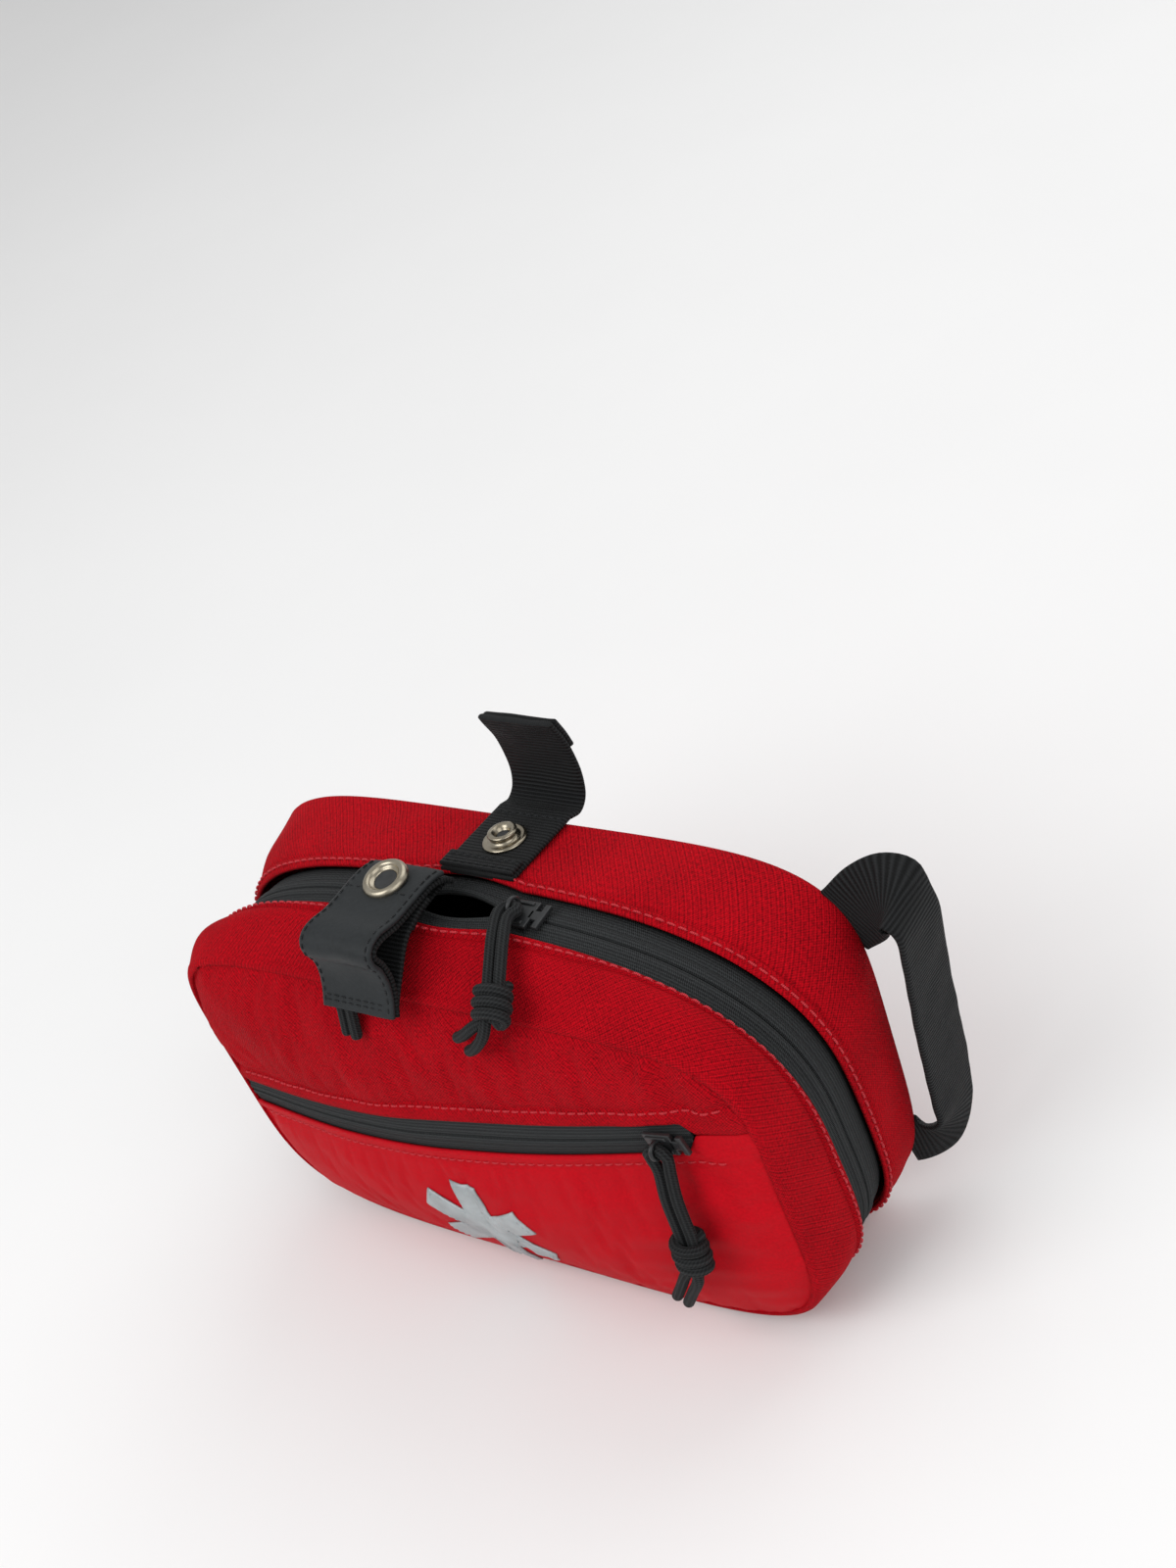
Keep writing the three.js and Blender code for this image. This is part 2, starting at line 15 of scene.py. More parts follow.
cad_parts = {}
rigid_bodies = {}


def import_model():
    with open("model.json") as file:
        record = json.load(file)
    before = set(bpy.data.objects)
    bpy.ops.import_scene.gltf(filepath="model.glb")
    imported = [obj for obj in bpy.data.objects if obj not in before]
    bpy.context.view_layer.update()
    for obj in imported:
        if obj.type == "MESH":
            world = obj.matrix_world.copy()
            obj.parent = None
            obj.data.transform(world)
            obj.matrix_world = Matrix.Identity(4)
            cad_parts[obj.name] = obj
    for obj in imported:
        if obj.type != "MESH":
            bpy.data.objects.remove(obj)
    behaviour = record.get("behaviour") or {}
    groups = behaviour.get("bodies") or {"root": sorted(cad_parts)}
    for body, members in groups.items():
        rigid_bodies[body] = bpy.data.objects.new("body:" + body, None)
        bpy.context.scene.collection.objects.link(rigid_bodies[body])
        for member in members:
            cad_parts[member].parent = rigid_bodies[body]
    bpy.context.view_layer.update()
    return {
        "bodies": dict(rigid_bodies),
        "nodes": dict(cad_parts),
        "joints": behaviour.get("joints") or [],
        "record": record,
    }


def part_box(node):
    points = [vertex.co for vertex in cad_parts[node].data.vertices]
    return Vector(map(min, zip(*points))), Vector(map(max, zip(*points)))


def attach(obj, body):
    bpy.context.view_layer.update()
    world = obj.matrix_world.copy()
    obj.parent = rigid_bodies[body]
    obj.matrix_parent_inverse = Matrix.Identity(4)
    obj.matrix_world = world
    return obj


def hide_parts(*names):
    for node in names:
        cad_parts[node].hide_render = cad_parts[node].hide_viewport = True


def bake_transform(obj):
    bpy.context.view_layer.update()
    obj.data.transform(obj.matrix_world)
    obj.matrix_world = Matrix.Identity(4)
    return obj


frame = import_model()

MM = 0.001


def corners(node):
    """A CAD node's lowest and highest corners, in mm."""
    low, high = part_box(node)
    return np.array(low) / MM, np.array(high) / MM


# ---------- camera ----------

SENSOR = 36.0
LENS = 52.65
SHIFT = (0.0049, 0.1343)
VIEW = {"azimuth": 51.3, "elevation": 39.9, "roll": -27.3, "distance": 599.0}
AIM = (30.8, 0.0, 91.1)


def add_camera():
    az, el, roll = (math.radians(VIEW[k]) for k in ("azimuth", "elevation", "roll"))
    right = Vector((math.cos(az), math.sin(az), 0))
    ahead = Vector((-math.sin(az) * math.cos(el), math.cos(az) * math.cos(el), -math.sin(el)))
    up = right.cross(ahead)
    across = right * math.cos(roll) + up * math.sin(roll)
    upward = up * math.cos(roll) - right * math.sin(roll)
    place = (Vector(AIM) - ahead * VIEW["distance"]) * MM
    data = bpy.data.cameras.new("camera")
    data.sensor_width = SENSOR
    data.lens = LENS
    data.shift_x, data.shift_y = SHIFT
    data.clip_start = 0.01
    camera = bpy.data.objects.new("camera", data)
    turn = Matrix((across, upward, -ahead)).transposed().to_4x4()
    camera.matrix_world = Matrix.Translation(place) @ turn
    bpy.context.scene.collection.objects.link(camera)
    bpy.context.scene.camera = camera


add_camera()


# ---------- materials ----------

MATERIALS = {}


class Graph:
    """A material's nodes, added one call at a time."""

    def __init__(self, name):
        self.name = name
        self.material = bpy.data.materials.new(name)
        self.material.use_nodes = True
        self.tree = self.material.node_tree
        self.shader = self.tree.nodes["Principled BSDF"]

    def put(self, kind, inputs=None, **settings):
        node = self.tree.nodes.new(kind)
        for key, value in settings.items():
            setattr(node, key, value)
        for key, value in (inputs or {}).items():
            self.feed(node.inputs[key], value)
        return node

    def feed(self, socket, value):
        if isinstance(value, bpy.types.NodeSocket):
            self.tree.links.new(value, socket)
        else:
            socket.default_value = value

    def math(self, operation, a, b=0.0):
        return self.put("ShaderNodeMath", {0: a, 1: b}, operation=operation).outputs[0]

    def weighed(self, *terms):
        """The sum of some values, each times its weight."""
        total = None
        for value, weight in terms:
            term = self.math("MULTIPLY", value, weight)
            total = term if total is None else self.math("ADD", total, term)
        return total

    def sine(self, value, period):
        return self.math("SINE", self.math("MULTIPLY", value, 2 * math.pi / period))

    def noise(self, vector, scale, detail=3.0, roughness=0.55):
        settings = {"Vector": vector, "Scale": scale, "Detail": detail, "Roughness": roughness}
        return self.put("ShaderNodeTexNoise", settings).outputs["Fac"]

    def mixed(self, factor, a, b):
        node = self.put("ShaderNodeMix", data_type="RGBA")
        self.feed(node.inputs[0], factor)
        self.feed(node.inputs[6], (*a, 1) if isinstance(a, tuple) else a)
        self.feed(node.inputs[7], (*b, 1) if isinstance(b, tuple) else b)
        return node.outputs[2]

    def ranged(self, value, low, high, to_low=0.0, to_high=1.0):
        ends = {"From Min": low, "From Max": high, "To Min": to_low, "To Max": to_high}
        return self.put("ShaderNodeMapRange", {"Value": value, **ends}).outputs[0]

    def cloth_axes(self):
        """Where a point is along and across its cloth, and the same as one vector, in mm."""
        vector = self.put("ShaderNodeAttribute", attribute_name="weave").outputs["Vector"]
        split = self.put("ShaderNodeSeparateXYZ", {0: vector})
        return split.outputs[0], split.outputs[1], vector

    def finish(self, colour, roughness, height, strength, distance, **sockets):
        bump = self.put("ShaderNodeBump", {
            "Height": height, "Strength": strength, "Distance": distance,
        })
        self.feed(self.shader.inputs["Base Color"], colour)
        self.feed(self.shader.inputs["Roughness"], roughness)
        self.feed(self.shader.inputs["Normal"], bump.outputs[0])
        for key, value in sockets.items():
            self.shader.inputs[key.replace("_", " ")].default_value = value
        MATERIALS[self.name] = self.material


CLOTH_RELIEF, HARD_RELIEF = 0.0003, 0.0002     # how deep a bump reads, in metres


def canvas(name, deep, bright, pitch=0.85, strength=0.6, rough=0.85, sheen=0.0, twill=0.35):
    """Plain or twill cloth: threads that cross, uneven dye and a little fluff."""
    g = Graph(name)
    u, v, cloth = g.cloth_axes()
    plain = g.math("MULTIPLY", g.sine(u, pitch), g.sine(v, pitch))
    slant = g.sine(g.math("ADD", u, v), pitch * 1.6)
    weave = g.weighed((plain, 1 - twill), (slant, twill))
    slub = g.noise(cloth, 1.3, 4)
    fade = g.noise(cloth, 0.05, 5)
    shade = g.weighed((weave, 0.2), (slub, 0.8), (g.math("SUBTRACT", fade, 0.5), 0.25))
    colour = g.mixed(g.ranged(shade, 0.16, 0.62), deep, bright)
    worn = g.ranged(slub, 0.2, 0.8, rough - 0.08, rough + 0.08)
    g.finish(colour, worn, g.weighed((weave, 0.6), (slub, 0.9)), strength, CLOTH_RELIEF,
             Sheen_Weight=sheen, Sheen_Roughness=0.5, Sheen_Tint=(1.0, 0.25, 0.25, 1),
             Specular_IOR_Level=0.06)


def ribbed(name, deep, bright, pitch, rib=0.3, across=False, rough=0.75, strength=0.9):
    """Narrow woven goods: ribs over the width, finer threads over them."""
    g = Graph(name)
    u, v, cloth = g.cloth_axes()
    main, other = (v, u) if across else (u, v)
    ribs = g.sine(main, pitch)
    fine = g.sine(g.math("ADD", other, g.math("MULTIPLY", main, 0.5)), pitch * 0.62)
    weave = g.weighed((ribs, 1 - rib), (fine, rib))
    fluff = g.noise(cloth, 1.6, 3)
    shade = g.weighed((weave, 0.3), (fluff, 0.6))
    colour = g.mixed(g.ranged(shade, 0.05, 0.6), deep, bright)
    worn = g.ranged(fluff, 0.2, 0.8, rough - 0.1, rough + 0.1)
    g.finish(colour, worn, g.weighed((weave, 0.7), (fluff, 0.5)), strength, CLOTH_RELIEF,
             Sheen_Weight=0.02, Sheen_Roughness=0.4, Specular_IOR_Level=0.13)


def grained(name, deep, bright, rough, scale, strength, **sockets):
    """Rubberised, moulded, painted or metal surfaces: fine grain, wear and smears."""
    g = Graph(name)
    place = g.put("ShaderNodeTexCoord").outputs["Object"]
    grain = g.noise(place, scale, 4)
    smear = g.noise(place, scale * 0.06, 4)
    colour = g.mixed(g.ranged(g.weighed((grain, 0.4), (smear, 0.6)), 0.3, 0.7), deep, bright)
    worn = g.ranged(smear, 0.3, 0.7, rough - 0.08, rough + 0.12)
    g.finish(colour, worn, grain, strength, HARD_RELIEF, **sockets)


def beaded(name):
    """Silver reflective tape: glass beads under a scuffed, softly shining skin."""
    g = Graph(name)
    place = g.put("ShaderNodeTexCoord").outputs["Object"]
    beads = g.put("ShaderNodeTexVoronoi", {"Vector": place, "Scale": 2600.0}).outputs["Distance"]
    scuff = g.noise(place, 160.0, 5)
    shade = g.weighed((scuff, 0.6), (g.noise(place, 45.0, 3), 0.4))
    colour = g.mixed(g.ranged(shade, 0.35, 0.65), (0.25, 0.28, 0.29), (0.45, 0.49, 0.50))
    height = g.math("ADD", beads, g.math("MULTIPLY", scuff, 0.8))
    worn = g.ranged(scuff, 0.3, 0.7, 0.34, 0.55)
    g.finish(colour, worn, height, 0.35, CLOTH_RELIEF, Metallic=0.35)


def gauze_weave(name):
    """Open cotton gauze, with its threads apart."""
    g = Graph(name)
    u, v, cloth = g.cloth_axes()
    warp, weft = (g.math("ABSOLUTE", g.sine(way, 2.4)) for way in (u, v))
    threads = g.math("MAXIMUM", warp, weft)
    fluff = g.noise(cloth, 1.1, 4)
    shade = g.weighed((threads, 0.5), (fluff, 0.6))
    colour = g.mixed(g.ranged(shade, 0.3, 0.95), (0.50, 0.47, 0.40), (0.85, 0.82, 0.74))
    g.finish(colour, 0.92, g.math("ADD", threads, fluff), 0.6, 0.0004, Sheen_Weight=0.3)


canvas("red_canvas", (0.13, 0.0006, 0.003), (0.52, 0.002, 0.009), sheen=0.02)
canvas("pocket_nylon", (0.36, 0.0012, 0.006), (0.56, 0.003, 0.011), 0.42, 0.25, 0.6, 0.01, 0.0)
canvas("lining", (0.010, 0.010, 0.011), (0.026, 0.026, 0.028), 0.6, 0.3, 0.55, 0.0, 0.0)
canvas("dressing_wrap", (0.62, 0.64, 0.62), (0.80, 0.82, 0.80), 2.2, 0.4, 0.6, 0.0, 0.0)
ribbed("zip_tape", (0.011, 0.012, 0.0125), (0.050, 0.054, 0.056), 0.9, 0.55, True, 0.8)
ribbed("webbing", (0.003, 0.0033, 0.0035), (0.017, 0.018, 0.019), 1.15, 0.12, False, 0.65)
ribbed("elastic", (0.008, 0.008, 0.009), (0.03, 0.03, 0.032), 1.3, 0.25, True, 0.8)
ribbed("cord", (0.007, 0.0075, 0.008), (0.028, 0.03, 0.031), 1.25, 0.42, True, 0.75, 0.9)
ribbed("mesh", (0.006, 0.006, 0.007), (0.02, 0.02, 0.021), 0.8, 0.4)
ribbed("red_thread", (0.55, 0.020, 0.035), (0.85, 0.075, 0.09), 0.5, 0.3, False, 0.55)
ribbed("dark_thread", (0.012, 0.013, 0.014), (0.045, 0.047, 0.05), 0.5, 0.3, False, 0.55)
grained("tab_leather", (0.011, 0.013, 0.014), (0.022, 0.025, 0.027), 0.55, 900, 0.3,
        Specular_IOR_Level=0.22)
grained("zip_slider", (0.014, 0.015, 0.016), (0.04, 0.042, 0.044), 0.42, 500, 0.2, Metallic=0.3)
grained("snap_metal", (0.20, 0.17, 0.12), (0.46, 0.42, 0.34), 0.27, 420, 0.18, Metallic=1.0)
beaded("reflective")
gauze_weave("gauze")


# ---------- meshes ----------

def mesh_piece(name, points, faces, material, weave=None):
    """A new object from points in mm. weave holds each point's place on its cloth."""
    mesh = bpy.data.meshes.new(name)
    mesh.from_pydata((np.asarray(points) * MM).tolist(), [], faces)
    if weave is not None:
        flat = np.zeros((len(points), 3), np.float32)
        flat[:, :2] = weave
        mesh.attributes.new("weave", "FLOAT_VECTOR", "POINT").data.foreach_set("vector", flat.ravel())
    mesh.materials.append(MATERIALS[material])
    mesh.update()
    mesh.shade_smooth()
    piece = bpy.data.objects.new(name, mesh)
    bpy.context.scene.collection.objects.link(piece)
    return piece


def outward(piece, weld=0.0):
    """Turns a closed mesh's faces to point out, after joining points closer than weld, in metres."""
    work = bmesh.new()
    work.from_mesh(piece.data)
    if weld:
        bmesh.ops.remove_doubles(work, verts=work.verts, dist=weld)
    bmesh.ops.recalc_face_normals(work, faces=work.faces)
    work.to_mesh(piece.data)
    work.free()
    return piece


def settle(piece, body, nodes=()):
    """Puts a piece on the body it rides and hides the CAD nodes it stands for."""
    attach(piece, body)
    if nodes:
        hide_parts(*nodes)
    return piece


def grid_faces(rows, columns, wrap, start=0, flip=False):
    """The cells of a grid of points, whose last row meets its first where it wraps."""
    quads = []
    for i in range(rows if wrap else rows - 1):
        for j in range(columns - 1):
            a, b = i * columns + j, ((i + 1) % rows) * columns + j
            quad = [a + start, b + start, b + 1 + start, a + 1 + start]
            quads.append(quad[::-1] if flip else quad)
    return quads


def grid_normals(grid, wrap):
    if wrap:
        along = np.roll(grid, -1, 0) - np.roll(grid, 1, 0)
    else:
        along = np.gradient(grid, axis=0)
    over = np.gradient(grid, axis=1)
    normal = np.cross(along, over)
    return normal / np.maximum(np.linalg.norm(normal, axis=2, keepdims=True), 1e-9)


def run_along(path):
    """How far along a path each of its points is."""
    return np.concatenate([[0], np.cumsum(np.linalg.norm(np.diff(path, axis=0), axis=1))])


def unit(vectors):
    return vectors / np.linalg.norm(vectors, axis=-1, keepdims=True)


def run_length(grid, axis):
    """How far along the grid each of its points is, down one axis."""
    step = np.linalg.norm(np.diff(grid, axis=axis), axis=2)
    pad = np.zeros_like(np.take(step, [0], axis=axis))
    return np.concatenate([pad, np.cumsum(step, axis=axis)], axis=axis)


def sheet_shell(name, grid, thick, material, side=1, wrap=False, flat=None):
    """A cloth wall: a grid of points, its inner face, and the edges between them.

    side is 1 where the grid's normals point out, and flat is each point's place on the cloth.
    """
    rows, columns = grid.shape[:2]
    inner = grid - side * thick * grid_normals(grid, wrap)
    count = rows * columns
    points = np.concatenate([grid.reshape(-1, 3), inner.reshape(-1, 3)])
    if flat is None:
        along, over = run_length(grid, 0).mean(axis=1), run_length(grid, 1).mean(axis=0)
        flat = np.stack(np.meshgrid(along, over, indexing="ij"), axis=2)
    weave = flat.reshape(-1, 2)
    faces = grid_faces(rows, columns, wrap) + grid_faces(rows, columns, wrap, count, True)
    lips = [[(i * columns, ((i + 1) % rows) * columns) for i in range(rows if wrap else rows - 1)]]
    lips.append([(a + columns - 1, b + columns - 1) for a, b in lips[0]])
    if not wrap:
        lips.append([(j, j + 1) for j in range(columns - 1)])
        last = (rows - 1) * columns
        lips.append([(last + j, last + j + 1) for j in range(columns - 1)])
    faces += [[a, b, b + count, a + count] for lip in lips for a, b in lip]
    return outward(mesh_piece(name, points, faces, material, np.concatenate([weave, weave])))


def smooth_path(points, count):
    """Evenly spaced points on a smooth curve through a few given ones."""
    points = np.asarray(points, float)
    ends = np.vstack([2 * points[0] - points[1], points, 2 * points[-1] - points[-2]])
    fine = []
    for i in range(len(points) - 1):
        a, b, c, d = ends[i:i + 4]
        for t in np.linspace(0, 1, 24, endpoint=False):
            fine.append(0.5 * (2 * b + (c - a) * t + (2 * a - 5 * b + 4 * c - d) * t * t
                               + (3 * b - a - 3 * c + d) * t ** 3))
    fine.append(points[-1])
    return even(np.array(fine), count)


def even(points, count):
    """The same path with evenly spaced points."""
    run = run_along(points)
    at = np.linspace(0, run[-1], count)
    return np.stack([np.interp(at, run, points[:, k]) for k in range(points.shape[1])], axis=1)


def tube_faces(rings, sides, start=0):
    """The wall of a closed tube, ring by ring, and a flat face at each end."""
    faces = []
    for i in range(rings - 1):
        for j in range(sides):
            k = (j + 1) % sides
            faces.append([start + i * sides + j, start + i * sides + k,
                          start + (i + 1) * sides + k, start + (i + 1) * sides + j])
    faces.append([start + j for j in range(sides)][::-1])
    faces.append([start + (rings - 1) * sides + j for j in range(sides)])
    return faces


DOME = ((-0.42, 0.55), (-0.25, 0.88))     # the rings that round off a tube's end: how far out, how wide


def tube_geometry(path, radius, sides=14):
    """Points, faces and cloth places of a round tube with domed ends."""
    path = np.asarray(path, float)
    tangent = unit(np.gradient(path, axis=0))
    normal = unit(np.cross(tangent[0], (0.31, 0.17, 0.94)))
    run = run_along(path)
    around = np.linspace(0, 2 * math.pi, sides, endpoint=False)
    frames = []
    for centre, along, far in zip(path, tangent, run):
        normal = unit(normal - along * normal.dot(along))
        frames.append((centre, along, normal, np.cross(along, normal), far, 1.0))

    def dome(frame, sign):
        centre, along, n, b, far, _ = frame
        return [(centre + sign * along * radius * off, along, n, b, far, size) for off, size in DOME]

    rings, weave = [], []
    for centre, _, n, b, far, size in dome(frames[0], 1) + frames + dome(frames[-1], -1)[::-1]:
        rings.append([centre + radius * size * (math.cos(a) * n + math.sin(a) * b) for a in around])
        weave += [(far, radius * a) for a in around]
    return np.array(rings).reshape(-1, 3), tube_faces(len(rings), sides), np.array(weave)


def tube(name, path, radius, material, sides):
    points, faces, weave = tube_geometry(path, radius, sides)
    return outward(mesh_piece(name, points, faces, material, weave))


def section(width, thick, count=13):
    """A flat strip's outline across, with rolled edges: offsets along its width and its thickness."""
    half, r = width / 2 - thick / 2, thick / 2
    top = [(x, r) for x in np.linspace(-half, half, count)]
    right = [(half + math.sin(a) * r, math.cos(a) * r) for a in np.linspace(0, math.pi, 5)[1:-1]]
    low = [(x, -r) for x in np.linspace(half, -half, count)]
    left = [(-x, -z) for x, z in right]
    return np.array(top + right + low + left)


def ribbon(name, path, widths, width, thick, material, wander=0.0, seed=0.0):
    """A strip of webbing along a path. widths is the way its width points all along, or at each point."""
    path = np.asarray(path, float)
    tangent = unit(np.gradient(path, axis=0))
    side = np.broadcast_to(np.asarray(widths, float), path.shape)
    side = unit(side - tangent * np.sum(side * tangent, axis=1, keepdims=True))
    up = np.cross(side, tangent)
    across = section(width, thick)
    run = run_along(path)
    points, weave = [], []
    for i in range(len(path)):
        for x, z in across:
            lift = wander * noise.noise((run[i] * 0.12 + seed, x * 0.12, seed))
            points.append(path[i] + side[i] * x + up[i] * (z + lift))
            weave.append((run[i], x))
    return outward(mesh_piece(name, points, tube_faces(len(path), len(across)), material, weave))


# The rings of one stitch: how far along it, how high in radii, how wide.
STITCH = ((-0.5, -1.3, 0.55), (-0.32, 0.1, 0.95), (0.0, 0.45, 1.0), (0.32, 0.1, 0.95), (0.5, -1.3, 0.55))
STITCH_SIDES = 6


def stitch_geometry(path, normals, pitch, length, radius):
    """A row of short threads, each dipping into the cloth at its ends."""
    path, normals = np.asarray(path, float), np.asarray(normals, float)
    run = run_along(path)
    points, faces, weave = [], [], []
    for middle in np.arange(pitch / 2, run[-1] - pitch / 4, pitch):
        faces += tube_faces(len(STITCH), STITCH_SIDES, len(points))
        at = [[np.interp(middle + share * length, run, path[:, k]) for k in range(3)]
              for share, _, _ in STITCH]
        at = np.array(at)
        up = unit(np.array([np.interp(middle, run, normals[:, k]) for k in range(3)]))
        across = np.cross(unit(at[-1] - at[0]), up)
        for (share, lift, size), centre in zip(STITCH, at):
            for a in np.arange(STITCH_SIDES) * 2 * math.pi / STITCH_SIDES:
                off = across * math.cos(a) + up * math.sin(a)
                points.append(centre + up * lift * radius + off * radius * size)
                weave.append((share * length, a * radius))
    return points, faces, weave


def stitches(name, rows, body, material="red_thread", pitch=3.3, length=2.7, radius=0.33):
    """Rows of stitches in one piece, each row a path and the cloth's normals along it."""
    points, faces, weave = [], [], []
    for path, normals in rows:
        p, f, w = stitch_geometry(path, normals, pitch, length, radius)
        faces += [[k + len(points) for k in face] for face in f]
        points += p
        weave += w
    settle(outward(mesh_piece(name, points, faces, material, weave)), body)


def lathed(name, profile, material, place, tilt=0.0, sides=72):
    """A turned piece: a profile of radius and height, spun round an axis that leans from upright."""
    points = []
    for i in range(sides):
        a = 2 * math.pi * i / sides
        points += [(r * math.cos(a), r * math.sin(a), h) for r, h in profile]
    turned = np.array(points) @ np.array(Matrix.Rotation(tilt, 3, "X").transposed())
    faces = grid_faces(sides, len(profile), True)
    return outward(mesh_piece(name, turned + np.array(place), faces, material), weld=1e-7)


def blocks(name, boxes, material, bevel, turn, place, extra):
    """Rounded plates and bars in one mesh with an extra one, turned and put in place."""
    work = bmesh.new()
    for low, high in boxes:
        low, high = np.array(low, float), np.array(high, float)
        size, middle = high - low, (low + high) / 2
        fit = Matrix.Translation(middle) @ Matrix.Diagonal((*size, 1))
        cube = bmesh.ops.create_cube(work, size=1.0, matrix=fit)
        edges = list({edge for vert in cube["verts"] for edge in vert.link_edges})
        bmesh.ops.bevel(work, geom=edges, offset=bevel, segments=3, profile=0.6, affect="EDGES")
    points = np.array([v.co for v in work.verts])
    faces = [[v.index for v in f.verts] for f in work.faces]
    work.free()
    faces += [[k + len(points) for k in face] for face in extra[1]]
    points = np.concatenate([points, extra[0]])
    if turn is not None:
        points = points @ np.array(turn.transposed())
    return outward(mesh_piece(name, points + np.array(place), faces, material))


# ---------- the pouch's form, as in the part ----------

WALL, GAP, WEBBING, CORD = 2.4, 0.3, 1.6, 3.2
EDGES = {
    "front": np.array((99, 0, 109, 6, 4.4)),
    "zip": np.array((101.5, -1.6, 120, 2.8, 3.9)),
    "back": np.array((101, -1.6, 117, 5.2, 4.1)),
}
FRONT_Y, BACK_Y = (-29.0, -25.0), (24.0, 36.5)
FRONT_MIDDLE, BACK_MIDDLE = 54.5, 57.7
BELLY, SAG, SEAM_Y, RIM = 11.0, 0.5, 7.3, 2.7
POCKET_Z, POCKET_RISE = 66.0, 0.18
ZIP_END = -32.0
FABRIC = 1.1


def mix(a, b, t):
    return a + (b - a) * t


def front_y(z):
    return mix(*FRONT_Y, z / 109)


def back_y(z):
    return mix(*BACK_Y, z / 117)


def outline(edge, angle, inset=0.0):
    """The pouch's outline at an angle: edge holds half, low, high, top, bottom, as numbers or as arrays."""
    half, low, high, top, bottom = edge
    middle, height = (low + high) / 2, (high - low) / 2 - inset
    power = np.where(np.sin(angle) >= 0, top, bottom)
    wide, tall = np.abs(np.cos(angle) / (half - inset)), np.abs(np.sin(angle) / height)
    reach = (wide ** power + tall ** power) ** (-1 / power)
    return reach * np.cos(angle), np.maximum(middle + reach * np.sin(angle), inset)


def front_face(x, z):
    """The stuffed front's depth at a point of it."""
    up = z - FRONT_MIDDLE
    rx, rz = outline(EDGES["front"], np.arctan2(up, x), RIM)
    share = np.minimum(1, np.hypot(x, up) / np.hypot(rx, rz - FRONT_MIDDLE))
    swell = np.maximum(0, 1 - share ** 2) ** 1.2
    return front_y(z) - BELLY * swell * (1 - SAG * up / FRONT_MIDDLE)


def pocket_line(x):
    """How high the pocket's zip is at x."""
    return POCKET_Z + POCKET_RISE * x


def soft_noise(x, y, seed):
    flat = [noise.noise((a, b, seed)) for a, b in zip(np.ravel(x), np.ravel(y))]
    return np.array(flat).reshape(np.shape(x))


LENS_LEFT, LENS_LONG, LENS_FOOT, LENS_TALL = -17.0, 37.0, 95.0, 15.0


def lens(x, z):
    """How far the open zip's edges part at a point of them, from 0 to 1."""
    along = np.clip((x - LENS_LEFT) / LENS_LONG, 0, 1)
    return np.clip((z - LENS_FOOT) / LENS_TALL, 0, 1) * np.sin(math.pi * along) ** 1.1


ANGLES = np.linspace(-90, 270, 420, endpoint=False)
ROLL = 2.2              # the radius of the corner between panel and gusset
FOLD_AT = 0.86          # where the gusset's folded edge starts, as a share of its wall
FOLD_HIGH, GROOVE = 0.75, 0.55


def ring_wall(end, columns, depth_from, swell, seed):
    """A gusset: from its rolled corner at the panel, along its wall, to its folded edge on the zip."""
    quarter = np.linspace(0, math.pi / 2, 6)
    profile = [(ROLL * (1 - math.sin(t)), ROLL * (1 - math.cos(t)), 0.0) for t in quarter]
    profile += [(0.0, ROLL, share) for share in np.linspace(0, 1, columns) ** 0.92][1:]
    a = np.radians(ANGLES)
    grid = np.zeros((len(a), len(profile), 3))
    sign = 1 if end == "front" else -1
    for j, (inset, back, share) in enumerate(profile):
        edge = mix(EDGES[end], EDGES["zip"], share).astype(float)
        bulge = math.sin(share * math.pi) * swell
        edge[0] += bulge
        edge[2] += bulge * (end == "front")
        x, z = outline(edge, a, inset)
        start = depth_from(z)
        y = mix(start + sign * back, -sign * SEAM_Y, share)
        y -= sign * lens(x, z) * 2.6 * share ** 3
        soft = soft_noise(np.cos(a) * 3.9, np.sin(a) * 3.9, seed + share * 1.6)
        fine = soft_noise(np.cos(a) * 11.0, np.sin(a) * 11.0, seed + 30 + share * 0.8)
        pull_in = math.sin(min(1, share * 1.02) * math.pi) ** 0.6
        lift = pull_in * (soft * 1.1 + fine * 0.45)
        if share > FOLD_AT:
            lift += FOLD_HIGH * min(1, (share - FOLD_AT) / 0.02)
        lift -= GROOVE * math.exp(-((share - FOLD_AT + 0.005) / 0.025) ** 2)
        lift = np.where(z < 3, np.minimum(lift, 0), lift)
        radial = np.stack([np.cos(a), np.zeros_like(a), np.sin(a)], axis=1)
        grid[:, j] = np.stack([x, y, z], axis=1) + radial * lift[:, None]
    grid[:, :, 2] = np.maximum(grid[:, :, 2], 0.02)
    return grid


def coons(low, right, high, left, columns, rows):
    """A patch between four flat curves. low and high run left to right, left and right run upwards."""
    b, t = even(low, columns), even(high, columns)
    l, r = even(left, rows), even(right, rows)
    u, v = np.linspace(0, 1, columns)[:, None, None], np.linspace(0, 1, rows)[None, :, None]
    flat = (1 - v) * b[:, None] + v * t[:, None] + (1 - u) * l[None] + u * r[None]
    corner = (1 - u) * (1 - v) * b[0] + u * (1 - v) * b[-1] + (1 - u) * v * t[0] + u * v * t[-1]
    return flat - corner


def rim_arc(edge, start, stop, inset, count=80):
    a = np.radians(np.linspace(start, stop, count))
    return np.stack(outline(EDGES[edge], a, inset), axis=1)


def back_patch(inset, columns, rows, corner_inset):
    """A patch over the whole back panel, out to its outline less an inset."""
    turn = corner_angle("back", corner_inset)
    ends = ((180 + turn, 360 - turn), (-turn, turn), (180 - turn, turn), (180 + turn, 180 - turn))
    return coons(*(rim_arc("back", start, stop, inset) for start, stop in ends), columns, rows)


def corner_angle(edge, inset):
    half, low, high = EDGES[edge][:3]
    return math.degrees(math.atan2((high - low) / 2 - inset, half - inset))


